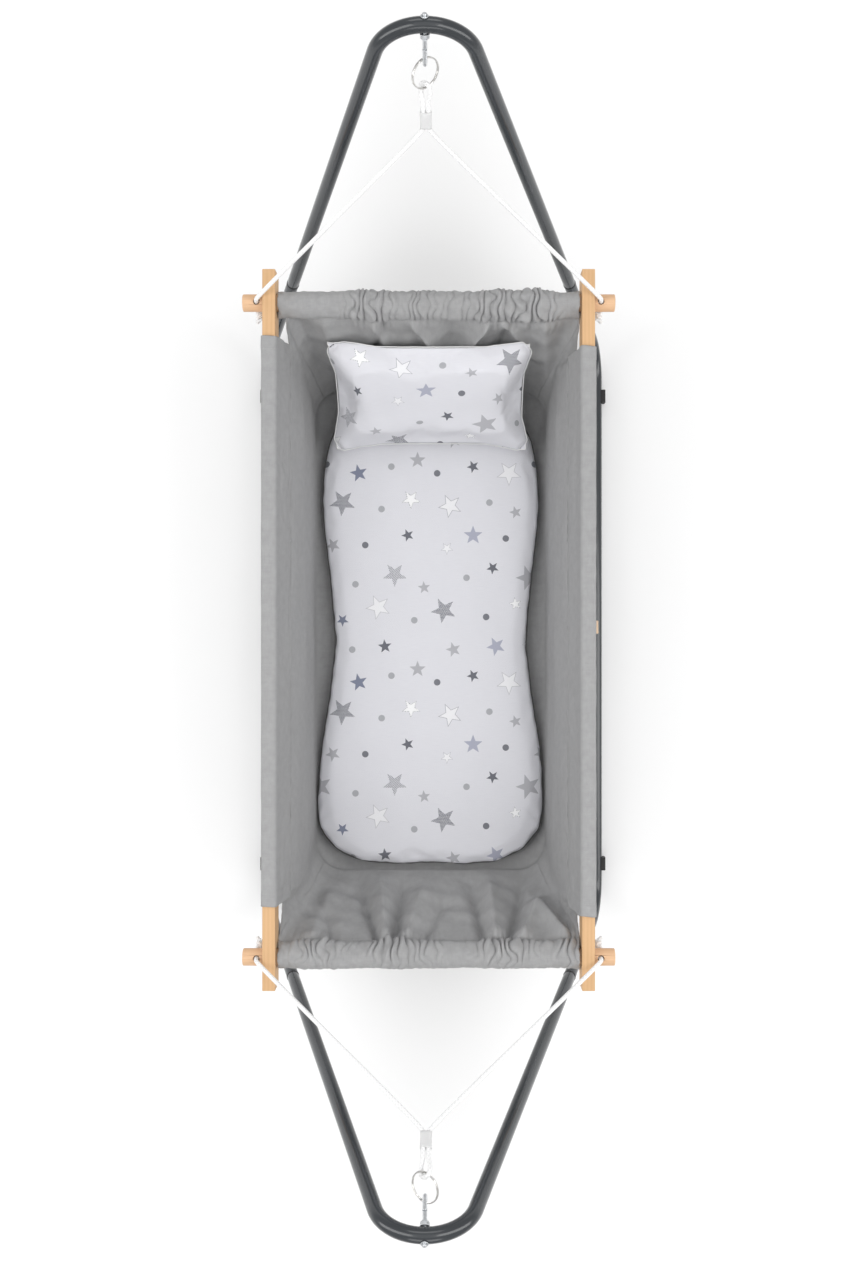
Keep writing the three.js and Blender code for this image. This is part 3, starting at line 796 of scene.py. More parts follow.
# ---- stand ----
def leg_line(side_sign, end_sign):
    """A point on a leg's centre line, at its joint, and its downward direction."""
    end, side = ("head", "foot")[end_sign < 0], ("left", "right")[side_sign > 0]
    direction, middle = spread_axis(f"{side}_{end}_joint_spigot", 0)
    return middle, direction * -math.copysign(1, direction[2])


def make_tubes():
    ring_half = 0.0013
    base_z = corners_of("right_base_tube")[0][2] + TUBE_R
    base_corners = {}
    for end, end_sign in ENDS:
        joint, down = leg_line(1, end_sign)
        mirror = np.array([-1, 1, 1])
        meet = joint - down * joint[0] / down[0]
        top = joint - down * ring_half
        path = bent_path([top, meet, top * mirror], ARCH_BEND)
        arch = tube(f"{end}_arch", path, TUBE_R, 40, "stand", LOOKS["tube"], "tube")
        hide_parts(f"{end}_arch_tube")
        low = joint + down * (base_z - joint[2]) / down[2]
        base_corners[end] = (joint + down * ring_half, low)
    for side, side_sign in SIDES:
        mirror = np.array([side_sign, 1, 1])
        (head_top, head_low), (foot_top, foot_low) = base_corners["head"], base_corners["foot"]
        path = bent_path([p * mirror for p in (head_top, head_low, foot_low, foot_top)], BASE_BEND)
        base = tube(f"{side}_base", path, TUBE_R, 40, "stand", LOOKS["tube"], "tube")
        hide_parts(f"{side}_base_tube")


def edged(node, width, look, segments=2):
    """Keeps a CAD node, with its edges rounded and its own material."""
    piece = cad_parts[node]
    weld = piece.modifiers.new("weld", "WELD")
    weld.merge_threshold = 1e-5
    bevel = piece.modifiers.new("edges", "BEVEL")
    bevel.width, bevel.segments, bevel.limit_method = width, segments, "ANGLE"
    bevel.angle_limit = math.radians(35)
    bevel.harden_normals = True
    piece.data.shade_smooth()
    normals = piece.modifiers.new("normals", "WEIGHTED_NORMAL")
    normals.keep_sharp = True
    piece.data.materials.clear()
    piece.data.materials.append(LOOKS[look])
    return piece


def make_hook(end, end_sign):
    """The hook bolt, with its thread where it passes the nut and the insert."""
    b = HOOK["bend"]
    bow = -HOOK["reach"] + ROD_R
    corners = [(0, HOOK["outer_end"]), (0, bow), (-2 * b, bow), (-2 * b, -HOOK["tip"])]
    path = bent_path([from_line(0, y, z, end_sign) for y, z in corners], b * UNDER_BEND, 0.0008, 0.00025)
    threaded = HOOK["outer_end"] + TUBE_R + 0.009

    def thread(distance, angle):
        wave = np.abs((distance / 0.0008 + angle / (2 * math.pi)) % 1 - 0.5) * 2
        return 1 - 0.10 * wave * (distance < threaded)

    ends = {"wave": thread, "round_end": 0.0006}
    hook = tube(f"{end}_hook", path, ROD_R, 24, "stand", LOOKS["zinc"], "zinc", **ends)
    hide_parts(f"{end}_hook_bolt")


def make_split_ring(end, end_sign):
    """Two flat coils that lie on each other, with one step where the wire crosses over."""
    mean_r, wire, layer, turns = 0.0188, 0.0011, 0.00076, 2.0
    t = np.linspace(0.04, turns * 2 * math.pi - 0.04, 260)
    z = layer * (2 * smoothstep(2 * math.pi - 0.5, 2 * math.pi + 0.5, t) - 1)
    local = np.stack([mean_r * np.cos(t + 0.9), z, mean_r * np.sin(t + 0.9)], axis=1)
    c, s = math.cos(RING_TURN * end_sign), math.sin(RING_TURN * end_sign)
    u, v, w = local.T
    turned = np.stack([u * c - v * s, u * s + v * c, w], axis=1)
    path = np.array([from_line(p[0] * end_sign, p[1] + RING_Y, p[2] + RING_Z, end_sign) for p in turned])

    def flat(distance, angle):
        return 1 / (np.abs(np.cos(angle)) ** 6 + np.abs(np.sin(angle)) ** 6) ** (1 / 6) * 0.72

    ends = {"wave": flat, "round_end": 0.0003}
    ring = tube(f"{end}_ring", path, wire, 16, "cradle", LOOKS["nickel"], "nickel", **ends)
    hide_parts(f"{end}_split_ring")


make_tubes()
for end_name, sign in ENDS:
    make_hook(end_name, sign)
    make_split_ring(end_name, sign)
    edged(f"{end_name}_hook_nut", 0.0005, "zinc", 3)
    edged(f"{end_name}_hook_washer", 0.0003, "zinc")
    edged(f"{end_name}_thread_insert", 0.0003, "zinc")
    edged(f"{end_name}_crossbar", 0.0012, "dowel_wood", 3)
    for side_name, _ in SIDES:
        edged(f"{side_name}_{end_name}_joint_ring", 0.0003, "rubber")
        edged(f"{side_name}_{end_name}_joint_spigot", 0.0003, "zinc")
        edged(f"{side_name}_{end_name}_foot_pad", 0.0008, "rubber")
for side_name, _ in SIDES:
    edged(f"{side_name}_rail", 0.0012, "rail_wood", 3)


# ---- hammock ----
SEAM_X, SEAM_Z = corners_of("right_side_wall")[1][[0, 2]]  # where a rail's sleeve and a side wall meet
SIDE_END = corners_of("right_rail_sleeve")[1][1]
FLOOR_X = 0.1775  # half width of the walls' foot, just clear of the mattress
FLOOR_Z = corners_of("hammock_floor")[0][2] + 0.0008
END_LOW_Y = 0.370
END_TOP_Y, END_TOP_Z = BAR_Y - 0.0160, BAR_Z - 0.006  # tucked inside the crossbar's sleeve
SLEEVE_HALF = corners_of("head_crossbar_sleeve")[1][0]
TURN_UP = {"x": 0.022, "y": 0.050, "z": 0.030}  # the curve from the floor up into the walls

# Where each crossbar's sleeve is gathered: middle, half width, strength.
GATHERS = {
    "head": (
        (-0.082, 0.030, 1.0), (-0.008, 0.026, 0.55), (0.040, 0.020, 0.35), (0.092, 0.032, 0.9),
        (0.148, 0.026, 1.15),
    ),
    "foot": (
        (-0.155, 0.034, 0.75), (-0.051, 0.032, 1.1), (0.002, 0.020, 0.5), (0.105, 0.038, 1.05),
        (0.196, 0.018, 1.0),
    ),
}
# How far the gathers stand out: on the side that faces the cradle's middle, and on the far side.
GATHER_DEPTH = {"head": (0.0085, 0.0056), "foot": (0.0088, 0.0018)}
# Folds of the end walls: across at the top and bottom, half width at both, depth, how far down it runs.
FOLDS = {
    "head": (
        (-0.185, -0.160, 0.014, 0.022, -0.007, 1.0), (-0.150, -0.140, 0.009, 0.022, 0.007, 0.8),
        (-0.079, -0.062, 0.006, 0.012, 0.012, 0.45), (-0.064, -0.090, 0.005, 0.018, -0.008, 0.9),
        (-0.029, 0.028, 0.005, 0.010, 0.013, 0.60), (0.088, 0.036, 0.005, 0.010, 0.013, 0.60),
        (0.030, 0.032, 0.022, 0.010, -0.009, 0.45), (0.100, 0.165, 0.006, 0.014, 0.012, 0.6),
        (0.120, 0.080, 0.006, 0.022, -0.009, 0.9), (0.160, 0.178, 0.008, 0.018, 0.009, 0.9),
    ),
    "foot": (
        (-0.165, -0.150, 0.007, 0.022, 0.007, 0.8), (-0.135, -0.175, 0.006, 0.018, -0.006, 0.8),
        (-0.071, -0.115, 0.005, 0.014, -0.014, 1.0), (-0.061, -0.078, 0.005, 0.016, 0.011, 1.0),
        (-0.050, -0.040, 0.005, 0.013, -0.012, 1.0), (-0.034, -0.005, 0.005, 0.020, 0.008, 0.9),
        (-0.008, 0.028, 0.005, 0.014, -0.007, 0.7), (0.078, 0.057, 0.005, 0.016, -0.013, 1.0),
        (0.095, 0.088, 0.006, 0.015, 0.010, 1.0), (0.111, 0.145, 0.005, 0.013, -0.013, 1.0),
        (0.128, 0.172, 0.007, 0.016, 0.013, 0.7), (0.185, 0.160, 0.007, 0.012, 0.015, 0.5),
    ),
}
# How far each upper corner is drawn out sideways towards its rail.
CORNER_REACH = {
    ("left", "head"): 0.002, ("right", "head"): 0.0125, ("left", "foot"): 0.0120, ("right", "foot"): 0.0125,
}


def gather_pattern(end):
    """Rounded ridges of gathered cloth, 0 to about 1, by place along the crossbar and angle round it."""
    seed = 11 if end == "head" else 23
    drift, weight = waves(seed, 6, 0.02, 0.07), waves(seed + 1, 6, 0.012, 0.05)
    slant = waves(seed + 2, 5, 0.03, 0.12)
    pitch = 0.0108

    def value(x, turn):
        where = x + 0.0040 * slant(x, turn * 0.022)
        ridges = np.abs(np.sin(math.pi * where / pitch + 1.9 * drift(x, turn * 0.012)))
        strength = sum(k * np.exp(-(((x - middle) / half) ** 2)) for middle, half, k in GATHERS[end])
        varied = np.clip(0.85 + 0.35 * weight(x, turn * 0.02), 0.3, 1.3)
        return np.clip(strength, 0, 1.2) * ridges**0.8 * varied

    return value


def fold_depth(folds, across, v):
    """How far an end wall's folds stand into the cradle, by place across and share of the height."""
    total = np.zeros(np.broadcast(across, v).shape)
    for top, bottom, narrow, wide, depth, reach in folds:
        down = (1 - v) / reach
        middle = top + (bottom - top) * np.clip(down, 0, 1)
        width = narrow + (wide - narrow) * np.clip(down, 0, 1)
        fade = (1 - smoothstep(0.6, 1.05, down)) * smoothstep(0.0, 0.10, 1 - v)
        total += depth * np.exp(-((np.abs(across - middle) / width) ** 1.5)) * fade
    return total


def round_loop(half_x, half_y, radius, counts):
    """A rounded rectangle from the middle of the foot end, anticlockwise seen from above."""
    on_side, on_end, on_corner = counts
    quarter = np.linspace(0, math.pi / 2, on_corner, endpoint=False)
    parts = []
    for k, (sx, sy) in enumerate(((1, -1), (1, 1), (-1, 1), (-1, -1))):
        centre = np.array([sx * (half_x - radius), sy * (half_y - radius)])
        start = (-math.pi / 2, 0, math.pi / 2, math.pi)[k]
        parts.append(centre + radius * np.stack([np.cos(start + quarter), np.sin(start + quarter)], axis=1))
        after = ((1, 1), (-1, 1), (-1, -1), (1, -1))[k]
        turn = start + math.pi / 2
        begin = centre + radius * np.array([math.cos(turn), math.sin(turn)])
        finish = np.array([after[0] * (half_x - radius), after[1] * (half_y - radius)])
        finish = finish + radius * np.array([math.cos(turn), math.sin(turn)])
        count = on_side if k % 2 == 0 else on_end
        parts.append(begin + (finish - begin) * np.linspace(0, 1, count, endpoint=False)[:, None])
    return np.concatenate(parts)


def tub_rows():
    """Rows of the hammock's cloth from the top edge down the walls and in across the floor."""
    counts = (230, 200, 26)
    slack = waves(3, 7, 0.05, 0.20)
    drag = waves(4, 6, 0.02, 0.08)
    crumple = waves(5, 9, 0.006, 0.022)
    patterns = {end: gather_pattern(end) for end, _ in ENDS}
    rows, flat = [], []
    for v in np.linspace(1, 0, 64):
        lean = v**1.1
        half_x = FLOOR_X + (SEAM_X - FLOOR_X - 0.001) * lean
        half_y = END_LOW_Y + (END_TOP_Y - END_LOW_Y) * v
        loop = round_loop(half_x, half_y, 0.045 - 0.036 * v, counts)
        x, y = loop[:, 0], loop[:, 1]
        past_sleeve = smoothstep(SIDE_END + 0.004, END_TOP_Y - 0.006, np.abs(y) + 0.06 * (1 - v))
        end_share = smoothstep(0.0, 0.022, np.abs(y) - (half_y - 0.024))
        top = SEAM_Z + (END_TOP_Z - SEAM_Z) * past_sleeve
        z = FLOOR_Z + TURN_UP["z"] + (top - FLOOR_Z - TURN_UP["z"]) * v
        for end, end_sign in ENDS:
            here = end_share * (np.sign(y) == end_sign)
            inward = fold_depth(FOLDS[end], x, v)
            band = smoothstep(0.78, 0.90, v), 1 - smoothstep(0.93, 1, v)
            inward += 0.0040 * patterns[end](x, math.pi) * band[0] * band[1]
            inward += 0.0040 * drag(x, v * 0.12) * v * (1 - v) * 3
            y = y - end_sign * here * inward
            z = z + here * 0.4 * inward
            for side, side_sign in SIDES:
                sleeve_end = abs(corners_of(f"{side}_rail_sleeve")[max(end_sign, 0)][1])
                beyond = smoothstep(sleeve_end - 0.012, sleeve_end + 0.008, np.abs(y))
                beyond = beyond * (np.sign(y) == end_sign)
                near = (np.sign(x) == side_sign) * smoothstep(0.150, 0.185, np.abs(x)) * beyond
                x = x + side_sign * near * CORNER_REACH[(side, end)] * v**2
        middle = 1 - end_share
        sag = 0.0020 * math.sin(math.pi * v)
        ripple = 0.0014 * slack(y, v * 0.17) * math.sin(math.pi * v * 0.9 + 0.2)
        pucker = 0.0006 * crumple(y, v * 0.08) * smoothstep(0.60, 0.97, v)
        x = x - np.sign(x) * middle * (sag + ripple + pucker)
        rows.append(np.stack([x, y, z], axis=1))
        flat.append(np.stack([np.where(end_share > 0.5, x, y), z], axis=1))
    walls = rows[-1]
    for turn in np.linspace(0, math.pi / 2, 13)[1:]:
        in_by = 1 - math.cos(turn)
        rows.append(shrunk(walls, TURN_UP["x"] * in_by, TURN_UP["y"] * in_by, TURN_UP["z"] * math.sin(turn)))
        flat.append(rows[-1][:, :2])
    for share in np.linspace(0, 1, 22)[1:]:
        reach = share * (FLOOR_X - TURN_UP["x"])
        row = shrunk(walls, TURN_UP["x"] + reach, TURN_UP["y"] + reach, TURN_UP["z"])
        row[:, 2] -= 0.0006 * (1 + slack(row[:, 0], row[:, 1])) * math.sin(math.pi * share)
        rows.append(row)
        flat.append(row[:, :2])
    return np.array(rows), np.array(flat)


def shrunk(row, inset_x, inset_y, drop):
    """A loop drawn in from each side and lowered."""
    half_x, half_y = np.abs(row[:, 0]).max(), np.abs(row[:, 1]).max()
    scale = np.array([(half_x - inset_x) / half_x, (half_y - inset_y) / half_y, 1])
    return row * scale - np.array([0, 0, drop])


def thicken(piece, thickness):
    solid = piece.modifiers.new("cloth thickness", "SOLIDIFY")
    solid.thickness, solid.offset = thickness, 0.0


def cloth_loop(name, grid, flat, thickness, *nodes):
    """Hammock cloth that closes on itself round each row, in the place of CAD nodes."""
    piece = sheet_from(name, grid, "cradle", LOOKS["cloth"], flat, wrap_columns=True)
    thicken(piece, thickness)
    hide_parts(*nodes)
    return piece


def make_tub():
    grid, flat = tub_rows()
    walls = ("left_side_wall", "right_side_wall", "hammock_floor", "head_end_wall", "foot_end_wall")
    tub = cloth_loop("hammock_body", grid, flat, CLOTH_T, *walls)
    row = grid[3]
    for end, end_sign in ENDS:
        on_end = (np.sign(row[:, 1]) == end_sign) & (np.abs(row[:, 1]) > SIDE_END)
        seam = row[on_end & (np.abs(row[:, 0]) < 0.180)]
        seam = seam[np.argsort(seam[:, 0])] - np.array([0, end_sign * 0.0009, 0])
        stitches(f"{end}_wall_stitches", seam, "cradle")


def stitches(name, path, body, length=0.0026, gap=0.0013, radius=0.00032):
    """A row of short thread stitches along a path, in one mesh."""
    distance = along(path)
    points, faces = [], []
    for start in np.arange(0, distance[-1] - length, length + gap):
        at = np.linspace(start, start + length, 4)
        line = np.stack([np.interp(at, distance, path[:, k]) for k in range(3)], axis=1)
        ring = tube_points(line, radius * np.array([0.35, 1, 1, 0.35]), 6).reshape(-1, 3)
        base = len(points)
        points += list(ring)
        faces += [tuple(base + i for i in face) for face in grid_faces(4, 6, True)]
        faces += [tuple(base + i for i in range(6)), tuple(base + 18 + i for i in reversed(range(6)))]
    return piece_from(name, points, faces, body, LOOKS["grey_thread"])


def sleeve_section(side_sign, count):
    """The closed cross-section of a rail's sleeve: over the rail, down its outer face and in to the seam."""
    out, inner, top = RAIL_HIGH[0] + 0.0009, RAIL_LOW[0] - 0.0009, RAIL_HIGH[2] + 0.0009
    under = RAIL_LOW[2] - 0.0015
    corners = [
        (SEAM_X - 0.0005, SEAM_Z), (inner - 0.0035, 0.478), (inner, top - 0.0015), (inner + 0.0022, top),
        (out - 0.0022, top), (out, top - 0.0022), (out + 0.0004, 0.480), (out, under + 0.002),
        (out - 0.0025, under), (SEAM_X + 0.012, SEAM_Z + 0.0035), (SEAM_X + 0.001, SEAM_Z - 0.0008),
    ]
    line = smooth_path([(x, 0, z) for x, z in corners + corners[:1]], 0.0015)
    at = np.linspace(0, path_length(line), count, endpoint=False)
    distance = along(line)
    x, z = np.interp(at, distance, line[:, 0]), np.interp(at, distance, line[:, 2])
    return x * side_sign, z, at


def make_rail_sleeve(side, side_sign):
    low, high = corners_of(f"{side}_rail_sleeve")
    count, hem = 110, 0.018
    x, z, at = sleeve_section(side_sign, count)
    middle_x, middle_z = x.mean(), z.mean()
    seed = 31 if side == "left" else 47
    slack, drag = waves(seed, 7, 0.05, 0.25), waves(seed + 1, 7, 0.015, 0.05)
    foot_hem = np.linspace(low[1], low[1] + hem, 12)
    between = np.linspace(low[1] + hem, high[1] - hem, 200)[1:-1]
    head_hem = np.linspace(high[1] - hem, high[1], 12)
    stations = np.concatenate([foot_hem, between, head_hem])
    rows = []
    for y in stations:
        ends = min(y - low[1], high[1] - y)
        fat = 0.0005 * (1 - smoothstep(hem - 0.0012, hem + 0.0004, ends))
        loose = smoothstep(RAIL_HIGH[2], SEAM_Z + 0.01, z) * 0.0020 + 0.0004
        swell = fat + loose * slack(y, at * 1.5) + 0.5 * loose * drag(y + at * 0.6, at)
        swell = np.maximum(swell, -0.0003)
        away = np.stack([x - middle_x, z - middle_z])
        away /= np.linalg.norm(away, axis=0)
        wander = 0.0012 * drag(at, 0.3) * (1 - smoothstep(0, 0.02, ends))
        rows.append(np.stack([x + away[0] * swell, y + wander, z + away[1] * swell], axis=1))
    grid = np.array(rows)
    flat = crossed(at[None, :], stations[:, None])
    sleeve = cloth_loop(f"{side}_sleeve", grid, flat, CLOTH_T * 0.9, f"{side}_rail_sleeve")
    for name, row in (("foot", 11), ("head", len(stations) - 12)):
        band = grid[row][6:62]
        away = (band - np.array([middle_x, 0, middle_z])) * np.array([1, 0, 1])
        away /= np.linalg.norm(away, axis=1)[:, None]
        stitches(f"{side}_sleeve_{name}_hem", band + away * 0.0008, "cradle")
    seam = grid[:, 4].copy()
    seam[:, 0] -= side_sign * 0.0009
    stitches(f"{side}_sleeve_seam", seam, "cradle")


def make_crossbar_sleeve(end, end_sign):
    """Gathered sleeve: round the crossbar, and pulled down in front to the end wall's seam."""
    around, stations = 96, 640
    angles = np.linspace(0, 2 * math.pi, around, endpoint=False)
    pattern = gather_pattern(end)
    slack, ripple = waves(61, 6, 0.04, 0.15), waves(62, 7, 0.006, 0.02)
    x = np.linspace(-SLEEVE_HALF, SLEEVE_HALF, stations)
    front = np.exp(-(((angles - math.radians(200)) / math.radians(48)) ** 2))  # angle 180 faces the middle
    base = BAR_R + 0.0014 + 0.0055 * front
    gathered = pattern(x[:, None], angles[None, :])
    near, far = GATHER_DEPTH[end]
    loose = 0.0012 * (1 + slack(x[:, None], angles[None, :] * 0.03))
    loose = loose + 0.0005 * ripple(x[:, None], angles[None, :] * 0.012)
    facing = 0.5 - 0.5 * np.cos(angles - math.radians(20))  # 0 away from the middle, 1 towards it
    radius = base[None, :] + loose + gathered * (far + (near - far) * facing)[None, :]
    radius += 0.0016 * smoothstep(SLEEVE_HALF - 0.012, SLEEVE_HALF, np.abs(x))[:, None]
    near_end = smoothstep(SLEEVE_HALF - 0.02, SLEEVE_HALF, np.abs(x))[:, None]
    wander = 0.0022 * slack(angles * 0.05, 0.2)[None, :] * near_end
    lean = 0.0016 * gathered * np.sin(angles * 2 + 1)[None, :]
    y = BAR_Y * end_sign + radius * np.cos(angles)[None, :] * end_sign
    z = BAR_Z + radius * np.sin(angles)[None, :]
    grid = np.stack([x[:, None] + lean - np.sign(x)[:, None] * np.abs(wander), y, z], axis=2)
    flat = crossed(x[:, None], (angles * 0.018)[None, :])
    node = f"{end}_crossbar_sleeve"
    sleeve = cloth_loop(f"{end}_gathered_sleeve", grid, flat, CLOTH_T * 0.7, node)


def make_tag():
    """A folded loop of tape sewn into the right sleeve's outer side."""
    low, high = corners_of("side_tag")
    middle = (low + high) / 2
    half, reach = (high[2] - low[2]) / 2, high[0] - low[0]
    shoulder = reach * 0.55
    bend = [(0, half), (shoulder, half * 0.85), (reach * 0.92, 0), (shoulder, -half * 0.85), (0, -half)]
    loop = smooth_path([(x, 0, z) for x, z in bend], 0.0008)
    across = np.linspace(low[1], high[1], 24)
    curl = waves(71, 4, 0.01, 0.03)
    grid = []
    for y in across:
        curled = loop * np.array([1 + 0.05 * curl(y, 0.0), 1, 1])
        grid.append(curled + np.array([low[0] - 0.0012, y, middle[2]]))
    grid = np.array(grid)
    flat = grid[:, :, 1:]
    tag = sheet_from("tape_tag", grid, "cradle", LOOKS["tag"], flat)
    thicken(tag, 0.0007)
    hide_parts("side_tag")


make_tub()
for side_name, sign in SIDES:
    make_rail_sleeve(side_name, sign)
for end_name, sign in ENDS:
    make_crossbar_sleeve(end_name, sign)
make_tag()


# ---- bedding ----
def puff(piece, pressure, cap, frames=20, stiffness=15.0, bending=0.5):
    """Inflates a closed mesh as cloth, with no gravity, and moves no point by more than cap."""
    before = points_of(piece.data)
    cloth = piece.modifiers.new("cloth", "CLOTH")
    settings = cloth.settings
    settings.quality, settings.mass = 7, 0.2
    settings.tension_stiffness = settings.compression_stiffness = stiffness
    settings.shear_stiffness, settings.bending_stiffness = stiffness / 3, bending
    settings.use_pressure, settings.uniform_pressure_force = True, pressure
    settings.effector_weights.gravity = 0
    cloth.point_cache.frame_end = frames
    for number in range(1, frames + 1):
        scene.frame_set(number)
    shaped = piece.evaluated_get(bpy.context.evaluated_depsgraph_get())
    after = points_of(shaped.data)
    piece.modifiers.remove(cloth)
    scene.frame_set(1)
    move = after - before
    far = np.linalg.norm(move, axis=1)[:, None]
    after = before + move * np.minimum(1, cap / np.maximum(far, 1e-9))
    piece.data.vertices.foreach_set("co", after.ravel())
    piece.data.update()


def remeshed_copy(node, name, voxel, scale):
    """A copy of a CAD node as an even mesh, scaled about its middle."""
    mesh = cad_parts[node].data.copy()
    piece = placed(name, mesh)
    middle = middle_of(node)
    for vertex in mesh.vertices:
        vertex.co = middle + (np.array(vertex.co) - middle) * scale
    remesh = piece.modifiers.new("remesh", "REMESH")
    remesh.mode, remesh.voxel_size = "VOXEL", voxel
    even = bpy.data.meshes.new_from_object(piece.evaluated_get(bpy.context.evaluated_depsgraph_get()))
    piece.modifiers.clear()
    piece.data = even
    even.name = name
    even.materials.clear()
    even.shade_smooth()
    return piece


def relax(piece, rounds, share):
    """Smooths a mesh a little."""
    axes = {"use_axis_x": True, "use_axis_y": True, "use_axis_z": True}
    with edited(piece.data) as shape:
        for _ in range(rounds):
            bmesh.ops.smooth_vert(shape, verts=shape.verts, factor=share, **axes)


def subdivide(piece, levels=1):
    smooth = piece.modifiers.new("smooth", "SUBSURF")
    smooth.levels = smooth.render_levels = levels


def widest_loop(points, count):
    """The points furthest out round a flat piece, in order: where its seam runs."""
    middle = (points.min(0) + points.max(0)) / 2
    half = (points.max(0) - points.min(0)) / 2
    flat = (points - middle)[:, :2] / half[:2]
    angle = np.arctan2(flat[:, 1], flat[:, 0])
    reach = np.linalg.norm(flat, axis=1)
    bins = ((angle + math.pi) / (2 * math.pi) * count).astype(int) % count
    filled = [bins == k for k in range(count) if (bins == k).any()]
    return points[[np.flatnonzero(here)[np.argmax(reach[here])] for here in filled]]


def evened(loop, count, rounds=2):
    """A closed loop with evenly spaced, slightly smoothed stations."""
    for _ in range(rounds):
        loop = (np.roll(loop, 1, axis=0) + 2 * loop + np.roll(loop, -1, axis=0)) / 4
    closed = np.vstack([loop, loop[:1]])
    at = np.linspace(0, path_length(closed), count, endpoint=False)
    return np.stack([np.interp(at, along(closed), closed[:, k]) for k in range(3)], axis=1)


def make_mattress():
    mattress = remeshed_copy("mattress", "star_mattress", 0.005, (0.985, 0.992, 0.86))
    relax(mattress, 2, 0.5)
    puff(mattress, 2.2, 0.006, stiffness=12)
    low, high = corners_of("mattress")
    points = points_of(mattress.data)
    middle = middle_of("mattress")
    size = points.max(0) - points.min(0)
    centred = points - (points.max(0) + points.min(0)) / 2
    points[:, :2] = middle[:2] + centred[:, :2] * ((high - low) / size)[:2]
    foot_share = smoothstep(0.20, 0.33, -points[:, 1])
    points[:, 0] *= 1 + (0.035 + 0.025 * (points[:, 0] < 0)) * foot_share
    edge = 1 - np.clip(np.abs(points[:, 2] - middle[2]) / (high[2] - low[2]) * 2, 0, 1)
    out = points - middle
    out[:, 2] = 0
    out /= np.maximum(np.linalg.norm(out, axis=1)[:, None], 1e-6)
    pucker, dent = waves(81, 9, 0.014, 0.05), waves(82, 8, 0.05, 0.22)
    rim = smoothstep(0.25, 1.0, edge) * (np.abs(points[:, 2] - middle[2]) < 0.02)
    points += out * (0.0010 * pucker(points[:, 0], points[:, 1]) * rim)[:, None]
    points[:, 2] += 0.0014 * dent(points[:, 0], points[:, 1]) * (points[:, 2] > middle[2])
    points[:, 2] = np.maximum(points[:, 2], low[2])
    mattress.data.vertices.foreach_set("co", points.ravel())
    store(mattress.data, "flat_at", points[:, :2])
    mattress.data.materials.append(LOOKS["mattress"])
    subdivide(mattress)
    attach(mattress, "mattress")
    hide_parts("mattress")
    seam = evened(widest_loop(points, 260), 420)
    away = seam - middle
    away[:, 2] = 0
    seam += away / np.linalg.norm(away, axis=1)[:, None] * 0.0008
    tube("mattress_piping", seam, PIPING_R, 10, "mattress", LOOKS["piping"], "bedding_print", closed=True)


def two_layers(width, length, step):
    """A flat closed bag of cloth: two layers that share their edge, and each point's place in the cloth."""
    columns, rows = round(width / step) + 1, round(length / step) + 1
    across = np.linspace(-width / 2, width / 2, columns)
    x, y = np.meshgrid(across, np.linspace(-length / 2, length / 2, rows))
    dome = 0.004 * (1 - (2 * x / width) ** 2) * (1 - (2 * y / length) ** 2) + 0.0002
    top = np.stack([x, y, dome], axis=2).reshape(-1, 3)
    bottom = top * np.array([1, 1, -1])
    faces = grid_faces(rows, columns)
    count = len(top)
    faces = [tuple(face) for face in faces] + [tuple(count + i for i in reversed(face)) for face in faces]
    mesh = bpy.data.meshes.new("star_pillow")
    mesh.from_pydata([tuple(p) for p in np.vstack([top, bottom])], [], faces)
    with edited(mesh) as shape:
        bmesh.ops.remove_doubles(shape, verts=shape.verts, dist=0.0005)
        bmesh.ops.recalc_face_normals(shape, faces=shape.faces)
    mesh.shade_smooth()
    store(mesh, "flat_at", points_of(mesh)[:, :2])
    return mesh


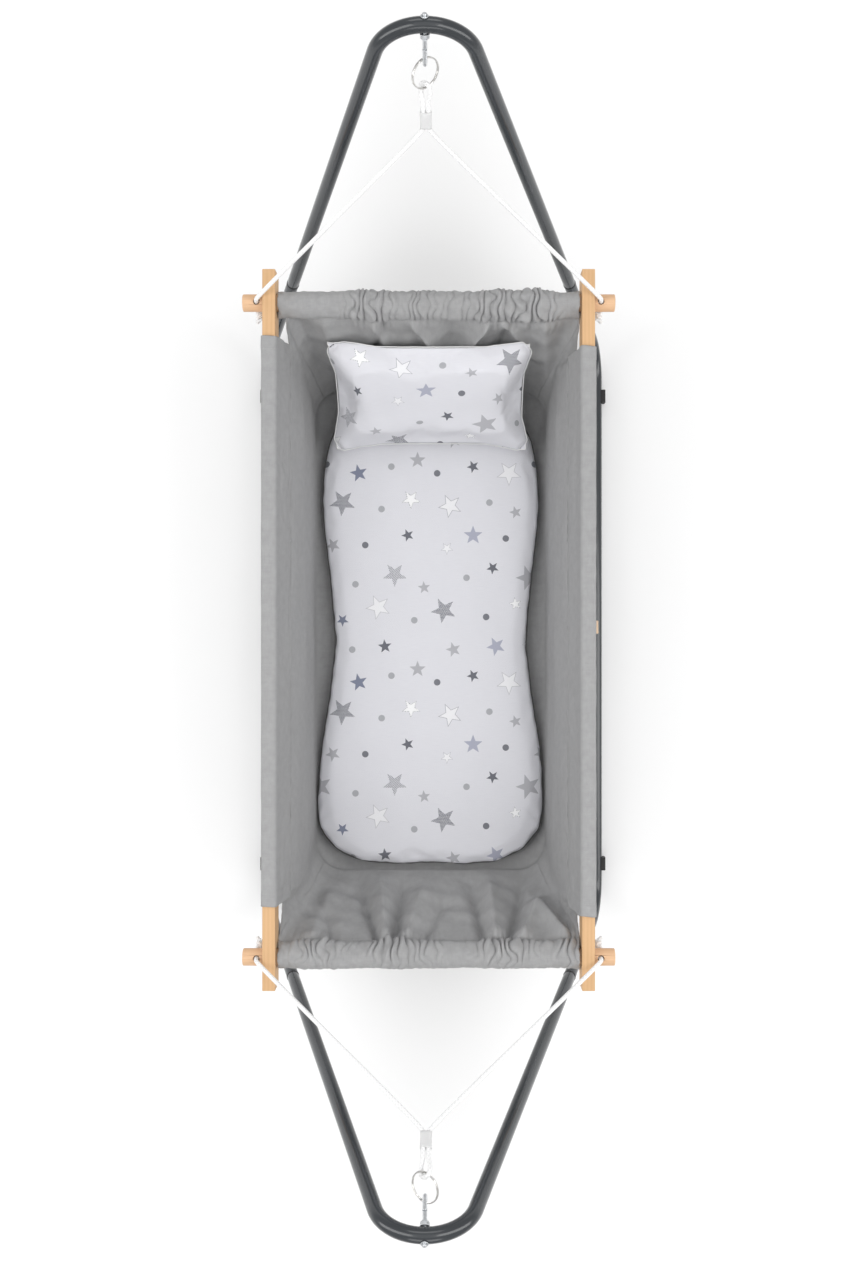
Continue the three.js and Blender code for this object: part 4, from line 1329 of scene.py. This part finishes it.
def make_pillow():
    """A flat bag of printed cotton, puffed up, then leaned on the head wall."""
    mesh = two_layers(*PILLOW_BAG, 0.0045)
    pillow = placed("star_pillow", mesh)
    flat = points_of(mesh)
    puff(pillow, 5.0, 0.040, frames=26, stiffness=8, bending=0.1)
    points = points_of(mesh)
    # a soft filling lets its edges stay nearly straight
    points[:, :2] = flat[:, :2] + (points - flat)[:, :2] * 0.45
    u, v, w = points.T
    half_u, half_v = flat[:, 0].max(), flat[:, 1].max()
    from_seam = np.minimum(half_u - np.abs(flat[:, 0]), half_v - np.abs(flat[:, 1]))
    creases, dimples = waves(91, 9, 0.010, 0.035), waves(92, 6, 0.04, 0.12)
    fu, fv = flat[:, 0], flat[:, 1]
    puckers = creases(fu, fv) * np.exp(-from_seam / 0.016) * smoothstep(0.0, 0.006, from_seam)
    hollows = 0.0015 * dimples(fu, fv) * smoothstep(0, 0.03, from_seam)
    w = w + np.sign(w) * (0.0022 * puckers + hollows)
    u = u * (0.294 / (u.max() - u.min()))
    v = v * (0.188 / (v.max() - v.min()))
    w = w * min(1, 0.054 / (w.max() - w.min()))
    ears = np.clip(np.abs(u) / 0.147, 0, 1) ** 6 * np.clip(np.abs(v) / 0.098, 0, 1) ** 4
    w = w + np.where(v < 0, 0.012, -0.004) * ears + 0.004 * np.where(u > 0, 1, -0.3) * ears
    low, high = corners_of("pillow")
    middle = (low + high) / 2
    w = np.where(w < 0, w * 0.6, w)
    # leaned on the head wall, its lower half bending towards the mattress
    lean, flatter = math.radians(50), math.radians(18)
    rate = (lean - flatter) / 0.094
    tilt = lean + rate * np.minimum(v, 0)
    y = np.where(v < 0, (np.sin(tilt) - math.sin(lean)) / rate, v * math.cos(lean)) - w * np.sin(tilt)
    z = np.where(v < 0, (math.cos(lean) - np.cos(tilt)) / rate, v * math.sin(lean)) + w * np.cos(tilt)
    leaned = np.stack([middle[0] + u, middle[1] + 0.009 + y, middle[2] - 0.013 + z], axis=1)
    mesh.vertices.foreach_set("co", leaned.ravel())
    edge = np.flatnonzero(from_seam < 1e-5)
    edge = edge[np.argsort(np.arctan2(flat[edge, 1], flat[edge, 0]))]
    thread = LOOKS["white_thread"]
    tube("pillow_seam", leaned[edge], SEAM_R, 8, "pillow", thread, "bedding_print", closed=True)
    mesh.materials.append(LOOKS["pillow"])
    subdivide(pillow)
    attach(pillow, "pillow")
    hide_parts("pillow")


make_mattress()
make_pillow()
